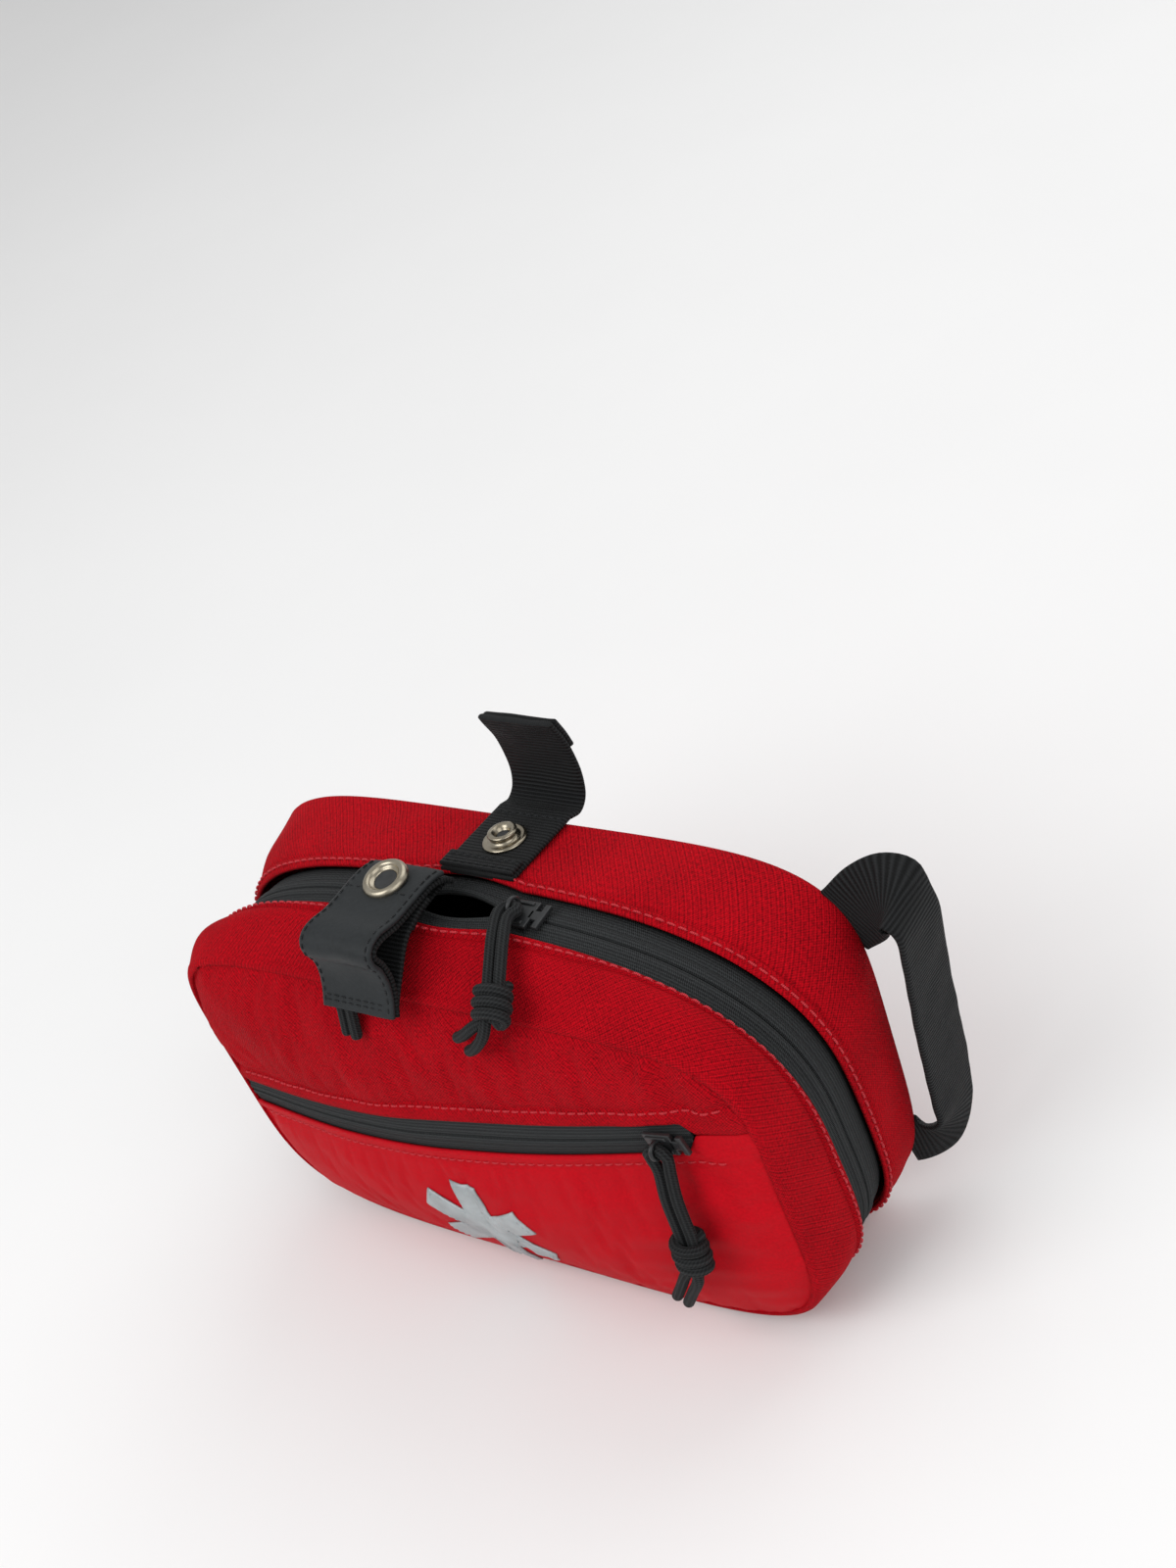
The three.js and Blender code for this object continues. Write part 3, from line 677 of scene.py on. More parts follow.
def rim_meets(line, inset, right):
    """The angle at which the front rim crosses a line across the panel, at its right or left end."""
    angles = np.linspace(-60, 60, 2401) if right else np.linspace(240, 120, 2401)
    x, z = outline(EDGES["front"], np.radians(angles), inset)
    return angles[int(np.argmin(np.abs(z - line(x))))]


def panel_grid(low_line, high_line, inset, columns, rows):
    """A patch of the front face between the rim and one or two lines across it."""
    turn = corner_angle("front", inset)
    base = -turn if low_line is None else rim_meets(low_line, inset, True)
    base_left = 180 + turn if low_line is None else rim_meets(low_line, inset, False)
    head = turn if high_line is None else rim_meets(high_line, inset, True)
    head_left = 180 - turn if high_line is None else rim_meets(high_line, inset, False)
    right = rim_arc("front", base, head, inset)
    left = rim_arc("front", base_left, head_left, inset)

    def edge(line, end, start, stop):
        if line is None:
            return rim_arc("front", start, stop, inset)
        x = np.linspace(left[end][0], right[end][0], 60)
        return np.stack([x, line(x)], axis=1)

    low = edge(low_line, 0, base_left, 360 + base)
    high = edge(high_line, -1, head_left, head)
    return coons(low, right, high, left, columns, rows)


def rim_gap(x, z, edge="front", middle=FRONT_MIDDLE):
    """How far a point of a panel is inside its rim."""
    rx, rz = outline(EDGES[edge], np.arctan2(z - middle, x), RIM)
    return np.hypot(rx, rz - middle) - np.hypot(x, z - middle)


def on_front(flat, lift):
    """Lays a flat patch on the front face, lifted by so much."""
    x, z = flat[..., 0], flat[..., 1]
    return np.stack([x, front_face(x, z) - lift, z], axis=-1)


# ---------- pulls: two strands of cord, a wrapped knot and its tails ----------

WRAP_PITCH = 3.05       # from one turn of a knot's wrapping to the next
STRANDS_APART = 1.8     # from a pull's middle to each of its strands
BESIDE = 1.55           # the same inside the knot


def wrapping(centre, ahead, side, over, turns, out):
    """The turns of cord that make a knot, wound round the way ahead."""
    wound = [centre - ahead * 3.6 + over * 1.2]
    for t in np.linspace(0, 1, int(turns * 22)):
        a = 2 * math.pi * turns * t + 0.6
        radius = out + 0.35 * math.sin(math.pi * t)
        round_it = math.cos(a) * side * 1.08 + math.sin(a) * over * 0.9
        wound.append(centre + ahead * (t - 0.5) * WRAP_PITCH * turns + radius * round_it)
    return np.array(wound + [centre + ahead * 3.8 + side])


def pull(name, body, eye, strand, knot, tails):
    """Two strands of cord from a slider's bail, the knot that both run into, and its two tails."""
    eye = np.array(eye, float)
    centre = np.array(knot["at"], float)
    ahead = unit(centre - np.array(strand["run"][-1], float))
    side = unit(np.cross(ahead, (0, 0, 1.0) if abs(ahead[2]) < 0.7 else (0, 1.0, 0)))
    if side[0] < 0:
        side = -side
    wound = wrapping(centre, ahead, side, np.cross(side, ahead), knot["turns"], knot["out"])
    wrapped = tube(name + "_wrapped_knot", smooth_path(wound + eye, 130), CORD / 2, "cord", 12)
    settle(wrapped, body, [name + "_knot"])
    for mark, way, tail, length in zip("ab", (1, -1), tails, strand["long"]):
        root = [(way * 0.2, 0, 0), (way * 1.5, -0.35, 0.1), (way * strand["spread"], *strand["turn"])]
        run = [(x + way * STRANDS_APART, y, z) for x, y, z in strand["run"]]
        beside = centre + side * way * BESIDE
        inside = [tuple(beside - ahead * 1.5), tuple(beside + ahead * 2.2)]
        path = smooth_path(np.array(root + run + inside + tail) + eye, 36)
        piece = tube(f"{name}_cord_{mark}", path, CORD / 2, "cord", 14)
        settle(piece, body, [f"{name}_strand_{mark}"])


right_low, right_high = corners("main_slider_right")
left_low, left_high = corners("main_slider_left")
pull("main_pull_right", "pull_right", (23, 0, right_high[2] - 2.7), {
    "spread": 2.4, "turn": (-1.4, 0.5), "long": (56, 54),
    "run": [(0, -5, 1), (3.4, -12, 1), (7, -20.8, -2)],
}, {"at": (9.2, -27.4, -5.4), "turns": 3.1, "out": 3.3}, [
    [(4.4, -31.8, -10), (-1.5, -32, -14.6), (-6, -30.8, -18)],
    [(7.2, -32.8, -11.4), (2.4, -33.4, -16.8), (-2.4, -32.2, -20.6)],
])
pull("main_pull_left", "pull_left", (-21, 0, left_high[2] - 2.7), {
    "spread": 2.6, "turn": (-1.4, 0.5), "long": (49, 51),
    "run": [(0, -5, 0.8), (-0.4, -9.5, 0.4), (-1, -14.4, -1.4)],
}, {"at": (-1.4, -20.4, -2.1), "turns": 2.6, "out": 2.5}, [
    [(-1.6, -26.4, -8.2), (-1.8, -29.6, -13.4), (-2.2, -31, -18.1), (-2.6, -32.8, -24)],
    [(1.6, -26.8, -8.6), (1.5, -30, -13.8), (1.1, -31.4, -18.5), (0.8, -33.2, -24.4)],
])
pocket_low, pocket_high = corners("pocket_slider")
POCKET_EYE = (71, pocket_low[1] + 2.7, 78.78)
pull("pocket_pull", "pull_pocket", POCKET_EYE, {
    "spread": 2.9, "turn": (-0.5, -1.4), "long": (64, 64),
    "run": [(1, -1.8, -6), (1.4, -4.2, -14), (2.6, -6.4, -24.6)],
}, {"at": (3, -7.6, -30.6), "turns": 3.1, "out": 3.3}, [
    [(-1.4, -8.6, -39.6), (-7, -8, -48.4), (-11.6, -7, -55.4)],
    [(2.0, -8.8, -40.4), (-3.8, -8.2, -49.8), (-8.4, -7.2, -56.8)],
])


# ---------- cloth settling ----------

CLOTH_SCALE = 10        # the solver works on a larger copy, where its own limits don't show
CLOTH_FRAMES = 20
CLOTH_TRAVEL = 3.5      # the farthest that any point may go


def settled_cloth(grid, pinned, slack, push):
    """Lets a sheet with a little spare cloth settle, held at its pinned points, as a stuffed panel does."""
    rows, columns = grid.shape[:2]
    faces = grid_faces(rows, columns, False)
    piece = mesh_piece("cloth_work", grid.reshape(-1, 3) * CLOTH_SCALE, faces, "lining")
    group = piece.vertex_groups.new(name="held")
    for index, hold in enumerate(pinned.ravel()):
        group.add([index], float(hold), "REPLACE")
    cloth = piece.modifiers.new("cloth", "CLOTH")
    settings = cloth.settings
    settings.quality = 6
    settings.mass = 0.15
    settings.vertex_group_mass = "held"
    settings.shrink_min = -slack
    settings.tension_stiffness = settings.compression_stiffness = 25
    settings.shear_stiffness = 8
    settings.bending_stiffness = 0.8
    settings.use_pressure = True
    settings.uniform_pressure_force = push
    settings.effector_weights.gravity = 0
    cloth.point_cache.frame_start, cloth.point_cache.frame_end = 1, CLOTH_FRAMES
    for moment in range(1, CLOTH_FRAMES + 1):
        bpy.context.scene.frame_set(moment)
    shape = piece.evaluated_get(bpy.context.evaluated_depsgraph_get()).data
    flat = np.empty(len(shape.vertices) * 3)
    shape.vertices.foreach_get("co", flat)
    moved = flat.reshape(grid.shape) / MM / CLOTH_SCALE - grid
    bpy.data.objects.remove(piece)
    bpy.context.scene.frame_set(1)
    far = np.linalg.norm(moved, axis=2, keepdims=True)
    return grid + moved * np.minimum(1, CLOTH_TRAVEL / np.maximum(far, 1e-6))


# ---------- the pouch's cloth ----------

gusset = ring_wall("front", 34, front_y, 1.5, 2.0)
piece = sheet_shell("front_gusset_cloth", gusset, FABRIC, "red_canvas", side=-1, wrap=True)
settle(piece, "front_shell", ["front_gusset"])
rear = ring_wall("back", 40, back_y, 1.2, 9.0)
piece = sheet_shell("rear_gusset_cloth", rear, FABRIC, "red_canvas", wrap=True)
settle(piece, "rear_shell", ["rear_gusset"])

TAPE_HALF = 5.0
HEM_DEEP = 5.0
POCKET_ZIP_STOP = 79.5  # where the pocket's zip ends on the right


def upper_lift(flat):
    x, z = flat[..., 0], flat[..., 1]
    gap = rim_gap(x, z)
    inside = np.clip(gap / 9, 0, 1)
    above = z - pocket_line(x) - TAPE_HALF
    calm = np.clip(above / 9, 0, 1)
    folds = soft_noise(x * 0.075, z * 0.022, 4.0) * 1.5 + soft_noise(x * 0.2, z * 0.05, 7.0) * 0.55
    away = np.hypot(x - 76, z - 112)
    pinch = soft_noise(np.degrees(np.arctan2(z - 112, x - 76)) * 0.06, away * 0.02, 1.0)
    lift = folds * inside * calm * 0.8 + pinch * 2.6 * np.exp(-(away / 26) ** 2) * np.clip(gap / 3, 0, 1)
    lift -= 0.5 * np.exp(-(gap / 2.0) ** 2)
    lift += 0.5 * np.exp(-(above / 3.6) ** 4) - 0.35 * np.exp(-((above - 4.6) / 0.9) ** 2)
    return lift


def pocket_lift(flat):
    x, z = flat[..., 0], flat[..., 1]
    gap = rim_gap(x, z)
    inside = np.clip(gap / 8, 0, 1)
    below = pocket_line(x) - TAPE_HALF - z
    calm = np.clip(below / 8, 0, 1)
    right = np.clip((x - 30) / 50, 0, 1)
    sideways = soft_noise(x * 0.03, (z - 0.15 * x) * 0.16, 5.0) * (0.5 + 1.3 * right)
    folds = soft_noise(x * 0.05, z * 0.05, 12.0) * 0.9
    lift = (sideways + folds) * inside * calm * 0.8
    lift -= 0.5 * np.exp(-(gap / 2.0) ** 2)
    lift += 0.5 * np.exp(-(below / 3.2) ** 4) - 0.3 * np.exp(-((below - 4.2) / 0.9) ** 2)
    return lift


def held_edges(flat, hem):
    """1 at a patch's edges and near its hem line, and 0 inside."""
    rows, columns = flat.shape[:2]
    i, j = np.meshgrid(np.arange(rows), np.arange(columns), indexing="ij")
    border = np.minimum(np.minimum(i, rows - 1 - i), np.minimum(j, columns - 1 - j))
    return np.where((border < 1) | (np.abs(flat[..., 1] - hem(flat[..., 0])) < HEM_DEEP), 1.0, 0.0)


def above_zip(x):
    return pocket_line(x) + np.where(x < POCKET_ZIP_STOP, TAPE_HALF, 0.6)


def below_zip(x):
    return pocket_line(x) - np.where(x < POCKET_ZIP_STOP, TAPE_HALF, -0.2)


upper_flat = panel_grid(above_zip, None, RIM - 0.8, 132, 44)
held = held_edges(upper_flat, above_zip)
upper = settled_cloth(on_front(upper_flat, 0.0), held, slack=0.025, push=2.0)
upper[..., 1] -= upper_lift(upper_flat)
upper_piece = sheet_shell("front_upper_cloth", upper, FABRIC, "red_canvas", side=1, flat=upper_flat)
settle(upper_piece, "front_shell", ["front_upper_panel"])

pocket_flat = panel_grid(None, below_zip, RIM - 0.8, 132, 60)
held = held_edges(pocket_flat, below_zip)
pocket = settled_cloth(on_front(pocket_flat, 0.0), held, slack=0.012, push=1.5)
pocket[..., 1] -= pocket_lift(pocket_flat)
pocket_piece = sheet_shell("front_pocket_cloth", pocket, 0.9, "pocket_nylon", side=1, flat=pocket_flat)
settle(pocket_piece, "front_shell", ["front_pocket_panel"])

back_flat = back_patch(1.8, 110, 64, RIM)
bx, bz = back_flat[..., 0], back_flat[..., 1]
gap = rim_gap(bx, bz, "back", BACK_MIDDLE)
hollow = (0.5 - 0.6 * soft_noise(bx * 0.03, bz * 0.03, 21.0)) * np.clip(gap / 12, 0, 1) * 0.7
dip = 0.6 * np.exp(-(gap / 1.5) ** 2) + hollow
back = np.stack([bx, back_y(bz) - dip, bz], axis=-1)
piece = sheet_shell("back_panel_cloth", back[::-1], FABRIC, "red_canvas", flat=back_flat[::-1])
settle(piece, "rear_shell", ["back_panel"])


def ground_strip():
    """The hinge: a strip of cloth under both halves, raised where it passes inside the gussets."""
    across = [(-13, 1.9), (-10, 1.9), (-8.2, 1.8), (-7.2, 1.2), (-6.5, 0.3), (-4, 0.15), (0, 0.1),
              (4, 0.15), (6.5, 0.3), (7.2, 1.2), (8.2, 1.8), (12, 1.9)]
    a = np.radians(np.linspace(-180 - ZIP_END - 3, ZIP_END + 3, 130))
    grid = np.zeros((len(a), len(across), 3))
    for j, (y, inset) in enumerate(across):
        x, z = outline(EDGES["zip"], a, inset)
        grid[:, j] = np.stack([x, np.full_like(x, y), z], axis=1)
    return grid


piece = sheet_shell("bottom_hinge_cloth", ground_strip()[::-1], 0.8, "red_canvas")
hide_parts("bottom_hinge_strip")
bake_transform(piece)


# ---------- zips ----------

def tape_grid(sign, start, stop, count=460):
    """One side of the main zip: knit tape over its coil, with a rolled edge at the slit."""
    profile = [(0.25, 2.6), (0.2, 1.7), (0.35, 1.05), (0.8, 0.8), (1.6, 0.72), (2.4, 0.8), (2.9, 1.15),
               (3.3, 1.45), (4.2, 1.4), (5.4, 1.45), (6.8, 1.6), (9.0, 2.0)]
    a = np.radians(np.linspace(start, stop, count))
    grid = np.zeros((count, len(profile), 3))
    for j, (off, inset) in enumerate(profile):
        x, z = outline(EDGES["zip"], a, inset)
        y = off + lens(x, z) * 4.4 * max(0.35, 1 - off / 9)
        grid[:, j] = np.stack([x, sign * y, z], axis=1)
    return grid if sign < 0 else grid[::-1]


for side, sign, body in (("front", -1, "front_shell"), ("rear", 1, "rear_shell")):
    piece = sheet_shell(f"{side}_zip", tape_grid(sign, ZIP_END, 180 - ZIP_END), 0.5, "zip_tape")
    settle(piece, body, [f"{side}_zip_tape", f"{side}_zip_coil"])

POCKET_TAPE_RIGHT = 79.0


def pocket_tape(sign):
    """One side of the pocket's zip."""
    profile = [(0.2, -1.6), (0.22, -0.4), (0.45, 0.15), (1.0, 0.3), (1.9, 0.12), (2.4, -0.25), (3.5, -0.3),
               (5.4, -0.6), (7.0, -1.0)]
    edge = rim_meets(pocket_line, RIM, False)
    left = outline(EDGES["front"], np.radians(edge), RIM + 0.6)[0]
    x = np.linspace(float(left), POCKET_TAPE_RIGHT, 240)
    grid = np.zeros((len(x), len(profile), 3))
    for j, (off, lift) in enumerate(profile):
        z = pocket_line(x) + sign * off
        grid[:, j] = np.stack([x, front_face(x, z) + 0.2 - lift, z], axis=1)
    return grid if sign > 0 else grid[::-1]


for side, sign in (("upper", 1), ("lower", -1)):
    piece = sheet_shell(f"pocket_zip_{side}", pocket_tape(sign), 0.5, "zip_tape")
    nodes = [f"pocket_zip_tape_{side}"] + (["pocket_zip_coil"] if sign > 0 else [])
    settle(piece, "front_shell", nodes)


def slider(name, node, body, place, length, width, nose, turn=None):
    """A zip slider: a bevelled plate with raised rails, a T-shaped nose, and a bail that holds the cord."""
    half, wide = length / 2, width / 2
    parts = [((-half, -wide, 0), (half, wide, 1.3)),
             ((-half + 0.8, -wide + 0.6, 0.9), (half - 1.4, -wide + 1.7, 1.8)),
             ((-half + 0.8, wide - 1.7, 0.9), (half - 1.4, wide - 0.6, 1.8)),
             ((half - 1.2, -1.5, 0), (half + 2.6, 1.5, 1.3)),
             ((half + 1.8, -wide + 0.4, 0), (half + 3.6, wide - 0.4, 1.35))]
    if nose < 0:
        parts = [((-high[0], low[1], low[2]), (-low[0], high[1], high[2])) for low, high in parts]
    ring = [(0, 2.3 * math.cos(t), 3.15 + 2.3 * math.sin(t)) for t in np.linspace(-0.85, math.pi + 0.85, 26)]
    extra = tube_geometry(ring, 0.62, 10)
    piece = blocks(name, parts, "zip_slider", 0.32, turn, place, extra[:2])
    settle(piece, body, [node])


slider("slider_right_body", "main_slider_right", "slider_right", (23, 0, right_low[2]), 11, 9, 1)
slider("slider_left_body", "main_slider_left", "slider_left", (-21, 0, left_low[2]), 11, 9, -1)
upright = Matrix.Rotation(-math.atan(POCKET_RISE), 3, "Y") @ Matrix.Rotation(math.pi / 2, 3, "X")
slider("slider_pocket_body", "pocket_slider", "slider_pocket", (71, pocket_high[1], 78.78), 9, 7, 1, upright)


# ---------- webbing ----------

REAR_END = 36.8
REAR_DEEP = 29.2        # from the seam to the back along the top


def rear_top(y):
    return mix(120, 117, (y - SEAM_Y) / REAR_DEEP)


STRAP_X, STRAP_WIDTH = 3.5, 25.0
STRAP_LIFT = GAP + WEBBING / 2
ALONG_X = (1.0, 0, 0)


def strap(name, body, nodes, path, width=STRAP_WIDTH, x=STRAP_X, thick=1.7, count=60, wander=0.0, seed=0.0):
    """A strip of webbing whose path runs in the YZ plane."""
    line = smooth_path([(x, y, z) for y, z in path], count)
    piece = ribbon(name, line, ALONG_X, width, thick, "webbing", wander, seed)
    if body:
        settle(piece, body, nodes)
    return piece


base_path = [(y, rear_top(y) + STRAP_LIFT + 0.2) for y in (9.4, 14, 20, 27, 33, REAR_END + 0.6)]
strap("rear_strap_webbing", "rear_shell", ["rear_strap_base"], base_path)
hem_path = [(y, rear_top(y) + STRAP_LIFT + 1.85) for y in (9.9, 11.5, 13, 15.2)]
strap("rear_strap_hem", "rear_shell", [], hem_path, thick=1.5, count=14)
tail_path = [(37.2, rear_top(37.4) + STRAP_LIFT), (41.1, 117.0), (44.9, 119.6), (46.9, 126),
             (46.7, 134.5), (44.5, 144.0)]
tail = strap("rear_strap_loose", None, [], tail_path, count=70, wander=0.5, seed=3.0)
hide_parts("rear_strap_tail")
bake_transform(tail)
fold_path = [(48.4, 133.5), (47.6, 138), (46.4, 143.2)]
strap("rear_strap_tip", "rear_strap", ["rear_strap_fold"], fold_path, count=20, wander=0.4, seed=3.0)

STUD_Y = 23.3
stud_slope = -math.atan2(3.0, REAR_DEEP)
stud_place = (STRAP_X, STUD_Y, rear_top(STUD_Y) + STRAP_LIFT + WEBBING / 2 + GAP)
stud_profile = [(0, 0), (6.2, 0), (6.3, 0.35), (6.1, 0.75), (5.5, 0.95), (5.0, 0.8), (4.5, 0.85), (4.05, 1.1),
                (3.7, 1.5), (3.7, 1.9), (4.05, 2.3), (4.2, 2.7), (4.0, 3.1), (3.4, 3.3), (2.7, 3.1),
                (2.05, 2.4), (1.75, 1.5), (1.0, 1.1), (0, 1.05)]
stud = lathed("snap_stud_cap", stud_profile, "snap_metal", stud_place, stud_slope)
settle(stud, "rear_shell", ["snap_stud"])
# a dark disc set into the stud's hollow centre: painted shade for the hole
painted_hole_shade_profile = [(0, 1.55), (1.55, 1.55), (1.75, 1.9), (1.5, 2.02), (0, 1.95)]
painted_hole_shade = lathed("snap_stud_painted_hole_shade", painted_hole_shade_profile, "zip_slider", stud_place, stud_slope)
settle(painted_hole_shade, "rear_shell")

TAB_X = -12.5
TAB_PATH = [(5, 122.5), (2.6, 125.1), (-1.8, 127), (-10, 127.6), (-18, 128.0), (-24.4, 129.4), (-27.8, 129.0),
            (-28.6, 127.0), (-27.4, 123.6), (-27.4, 118.6), (-29.0, 113.4), (-31.8, 108.6)]
FACING = 1.9


def above(line):
    """The way that points up from a line in the YZ plane, at each of its points."""
    along = np.gradient(line, axis=0)
    return unit(np.stack([np.zeros(len(line)), along[:, 2], -along[:, 1]], axis=1))


def off_path(path, off):
    """A smooth path in the YZ plane, moved out to one side."""
    line = smooth_path([(0, y, z) for y, z in path], 120)
    return line + above(line) * off


def tab_band(name, off, width, thick, material, node, start=0):
    line = off_path(TAB_PATH, off)[start:] + np.array((TAB_X, 0, 0))
    piece = ribbon(name, line, ALONG_X, width, thick, material, 0.35, 5.0)
    settle(piece, "front_tab", [node])
    return line


tab_band("tab_back_webbing", 0.0, 24.6, 1.7, "webbing", "tab_webbing")
facing_line = tab_band("tab_front_facing", FACING, 25, 1.5, "tab_leather", "tab_facing", start=9)
ring_place = (TAB_X, -5.4, 127.6 + 1.75 + 0.65 + 0.42)
ring_profile = [(3.6, -0.6), (6.5, -0.2), (6.6, 0.3), (6.4, 1.1), (5.9, 1.65), (5.3, 1.85), (4.7, 1.7),
                (4.3, 1.3), (4.2, 0.9), (3.75, 0.75), (3.3, 0.5), (3.2, 0.1), (3.6, -0.6)]
ring = lathed("snap_ring_cap", ring_profile, "snap_metal", ring_place, 0.1)
settle(ring, "front_tab", ["snap_socket_ring"])
well_profile = [(0, 0.05), (3.5, 0.05), (3.5, 0.35), (2.6, 0.45), (2.2, 0.2), (0, 0.18)]
settle(lathed("snap_ring_well", well_profile, "zip_slider", ring_place, 0.1), "front_tab")
under_path = [(-31.2, 109.9), (-27, 114.2), (-22, 119.2), (-17, 122.8), (-11, 124.9), (-5, 125.4)]
strap("tab_under_webbing", "front_tab", [], under_path, 12, -6.2, 1.4, wander=0.3)
root_path = [(-12, 120.2), (-7.3, 121.6), (-1.5, 121.7), (4.6, 121.5)]
strap("tab_root_tape", "front_shell", ["tab_root"], root_path, 10, -8.5, 1.0, count=24)


# ---------- side handle ----------

HANDLE = [(94.5, 33.6, 96.8), (99.5, 34.2, 100.5), (104.2, 34.8, 105.2), (109.6, 35.2, 108.6),
          (114.6, 35.2, 107.6), (116.8, 35, 99), (113.6, 35, 78), (110.6, 35.2, 56), (108.6, 35.4, 40),
          (107.2, 34.2, 29), (102.6, 30.4, 22.6), (94.5, 26, 21.5)]
line = smooth_path(HANDLE, 150)
share = np.linspace(0, 1, 150)


def eased(t):
    """0 to 1 with a soft start and end."""
    t = np.clip(t, 0, 1)
    return t * t * (3 - 2 * t)


top_turn = math.pi / 2 * (1 - eased(share / 0.3))
foot_turn = math.pi / 2 * eased((share - 0.74) / 0.24)
tilt = np.sin(top_turn) - np.sin(foot_turn)
slant = -0.45 * np.abs(tilt) * np.where(share < 0.5, 1, 0.5)
widths = np.stack([slant, np.cos(top_turn + foot_turn), tilt], axis=1)
piece = ribbon("side_handle_webbing", line, widths, 20, 1.8, "webbing", 0.25, 8.0)
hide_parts("side_handle")
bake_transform(piece)


# ---------- star patch ----------

STAR_AT, STAR_REACH, STAR_ARM, STAR_INSET = (-4.0, 28.0), 20.5, 9.5, 1.25


def compass(angle):
    return np.array((math.cos(angle), math.sin(angle)))


def star_points():
    """Flat patches that make a six-armed star: four corners each, in the panel's plane."""
    half = STAR_ARM / 2
    patches, outlines = [], []
    for i in range(6):
        a = math.pi / 2 + i * math.pi / 3
        out, side = compass(a), compass(a + math.pi / 2)
        notch = [compass(a + turn * math.pi / 6) * STAR_ARM for turn in (-1, 1)]
        ends = [out * STAR_REACH - side * half, out * STAR_REACH + side * half]
        patches.append((notch[0], ends[0], ends[1], notch[1]))
        patches.append((np.zeros(2), notch[0], (notch[0] + notch[1]) / 2, notch[1]))
        outlines += [notch[0], ends[0], ends[1]]
    return patches, np.array(outlines)


patches, star_rim = star_points()
points, faces = [], []
STEPS = 12
for a, b, c, d in patches:
    start = len(points)
    for i in range(STEPS + 1):
        for j in range(STEPS + 1):
            u, v = i / STEPS, j / STEPS
            points.append((1 - u) * (1 - v) * a + u * (1 - v) * b + u * v * c + (1 - u) * v * d)
    faces += [[start + k for k in quad] for quad in grid_faces(STEPS + 1, STEPS + 1, False)]
flat = np.array(points)


def rim_distance(p, loop):
    best = np.full(len(p), 1e9)
    for a, b in zip(loop, np.roll(loop, -1, axis=0)):
        t = np.clip(((p - a) @ (b - a)) / ((b - a) @ (b - a)), 0, 1)
        best = np.minimum(best, np.linalg.norm(p - (a + t[:, None] * (b - a)), axis=1))
    return best


POCKET_TREE = BVHTree.FromObject(pocket_piece, bpy.context.evaluated_depsgraph_get())
UPPER_TREE = BVHTree.FromObject(upper_piece, bpy.context.evaluated_depsgraph_get())


def on_cloth(tree, x, z, lift):
    """Points on a panel's cloth, seen from the front and lifted off along its normal, and the normals."""
    spots, ways = [], []
    for a, b, off in zip(x, z, np.broadcast_to(lift, np.shape(x))):
        spot, way = tree.ray_cast(Vector((a, -80, b)) * MM, Vector((0, 1, 0)))[:2]
        if spot is None:
            spot, way = Vector((a, float(front_face(a, b)), b)) * MM, Vector((0, -1, 0))
        way = way if way.y < 0 else -way
        spots.append(np.array(spot) / MM + np.array(way) * off)
        ways.append(np.array(way))
    return np.array(spots), np.array(ways)


sx, sz = flat[:, 0] + STAR_AT[0], flat[:, 1] + STAR_AT[1]
edge = rim_distance(flat, star_rim)
puff = 0.4 + 0.5 * np.clip(edge / 0.7, 0, 1) - 0.25 * np.exp(-((edge - 1.25) / 0.35) ** 2)
puff += 0.16 * soft_noise(sx * 0.3, sz * 0.3, 30.0)
face = on_cloth(POCKET_TREE, sx, sz, puff)[0]
star = outward(mesh_piece("star_patch_cloth", face, faces, "reflective"), weld=2e-5)
if star.data.polygons[0].normal.y > 0:
    star.data.flip_normals()
solid = star.modifiers.new("thickness", "SOLIDIFY")
solid.thickness, solid.offset = 0.0005, -1
settle(star, "front_shell", ["star_patch"])


# ---------- stitching ----------

def front_row(points, tree):
    flat = even(np.array(points, float), max(8, int(len(points) * 3)))
    return on_cloth(tree, flat[:, 0], flat[:, 1], 0.12)


xs = np.linspace(-93, 93, 90)
upper_hem = [(x, pocket_line(x) + TAPE_HALF + 3.7) for x in xs if x < 91]
pocket_hem = [(x, pocket_line(x) - TAPE_HALF - 3.4) for x in xs if x < 90]
stitches("upper_hem_stitches", [front_row(upper_hem, UPPER_TREE)], "front_shell")
stitches("pocket_hem_stitches", [front_row(pocket_hem, POCKET_TREE)], "front_shell", radius=0.26)
inner = np.zeros_like(star_rim)
for k, point in enumerate(star_rim):
    before, after = star_rim[k - 1], star_rim[(k + 1) % len(star_rim)]
    middle = unit(unit(before - point) + unit(after - point))
    convex = np.linalg.norm(point) > STAR_ARM * 1.2
    inner[k] = point + middle * STAR_INSET * (1.35 if convex else -1.1)
rows = []
for k in range(len(inner)):
    a, b = inner[k], inner[(k + 1) % len(inner)]
    line = np.linspace(a, b, 8) + np.array(STAR_AT)
    rows.append(on_cloth(POCKET_TREE, line[:, 0], line[:, 1], 0.7))
stitches("star_stitches", rows, "front_shell", "reflective", 2.0, 1.6, 0.2)


def wall_row(grid, column, start=-30, stop=210):
    """A row of stitches along a gusset, at one column of its grid."""
    chosen = np.flatnonzero((ANGLES >= start) & (ANGLES <= stop))
    line = grid[chosen, column]
    normal = grid_normals(grid, True)[chosen, column]
    middle = np.array((0, line[:, 1].mean(), 57))
    normal = normal * np.sign(np.sum(normal * (line - middle), axis=1, keepdims=True))
    return line + normal * 0.22, normal


stitches("front_edge_stitches", [wall_row(gusset, -4)], "front_shell")
stitches("rear_edge_stitches", [wall_row(rear, -4)], "rear_shell")

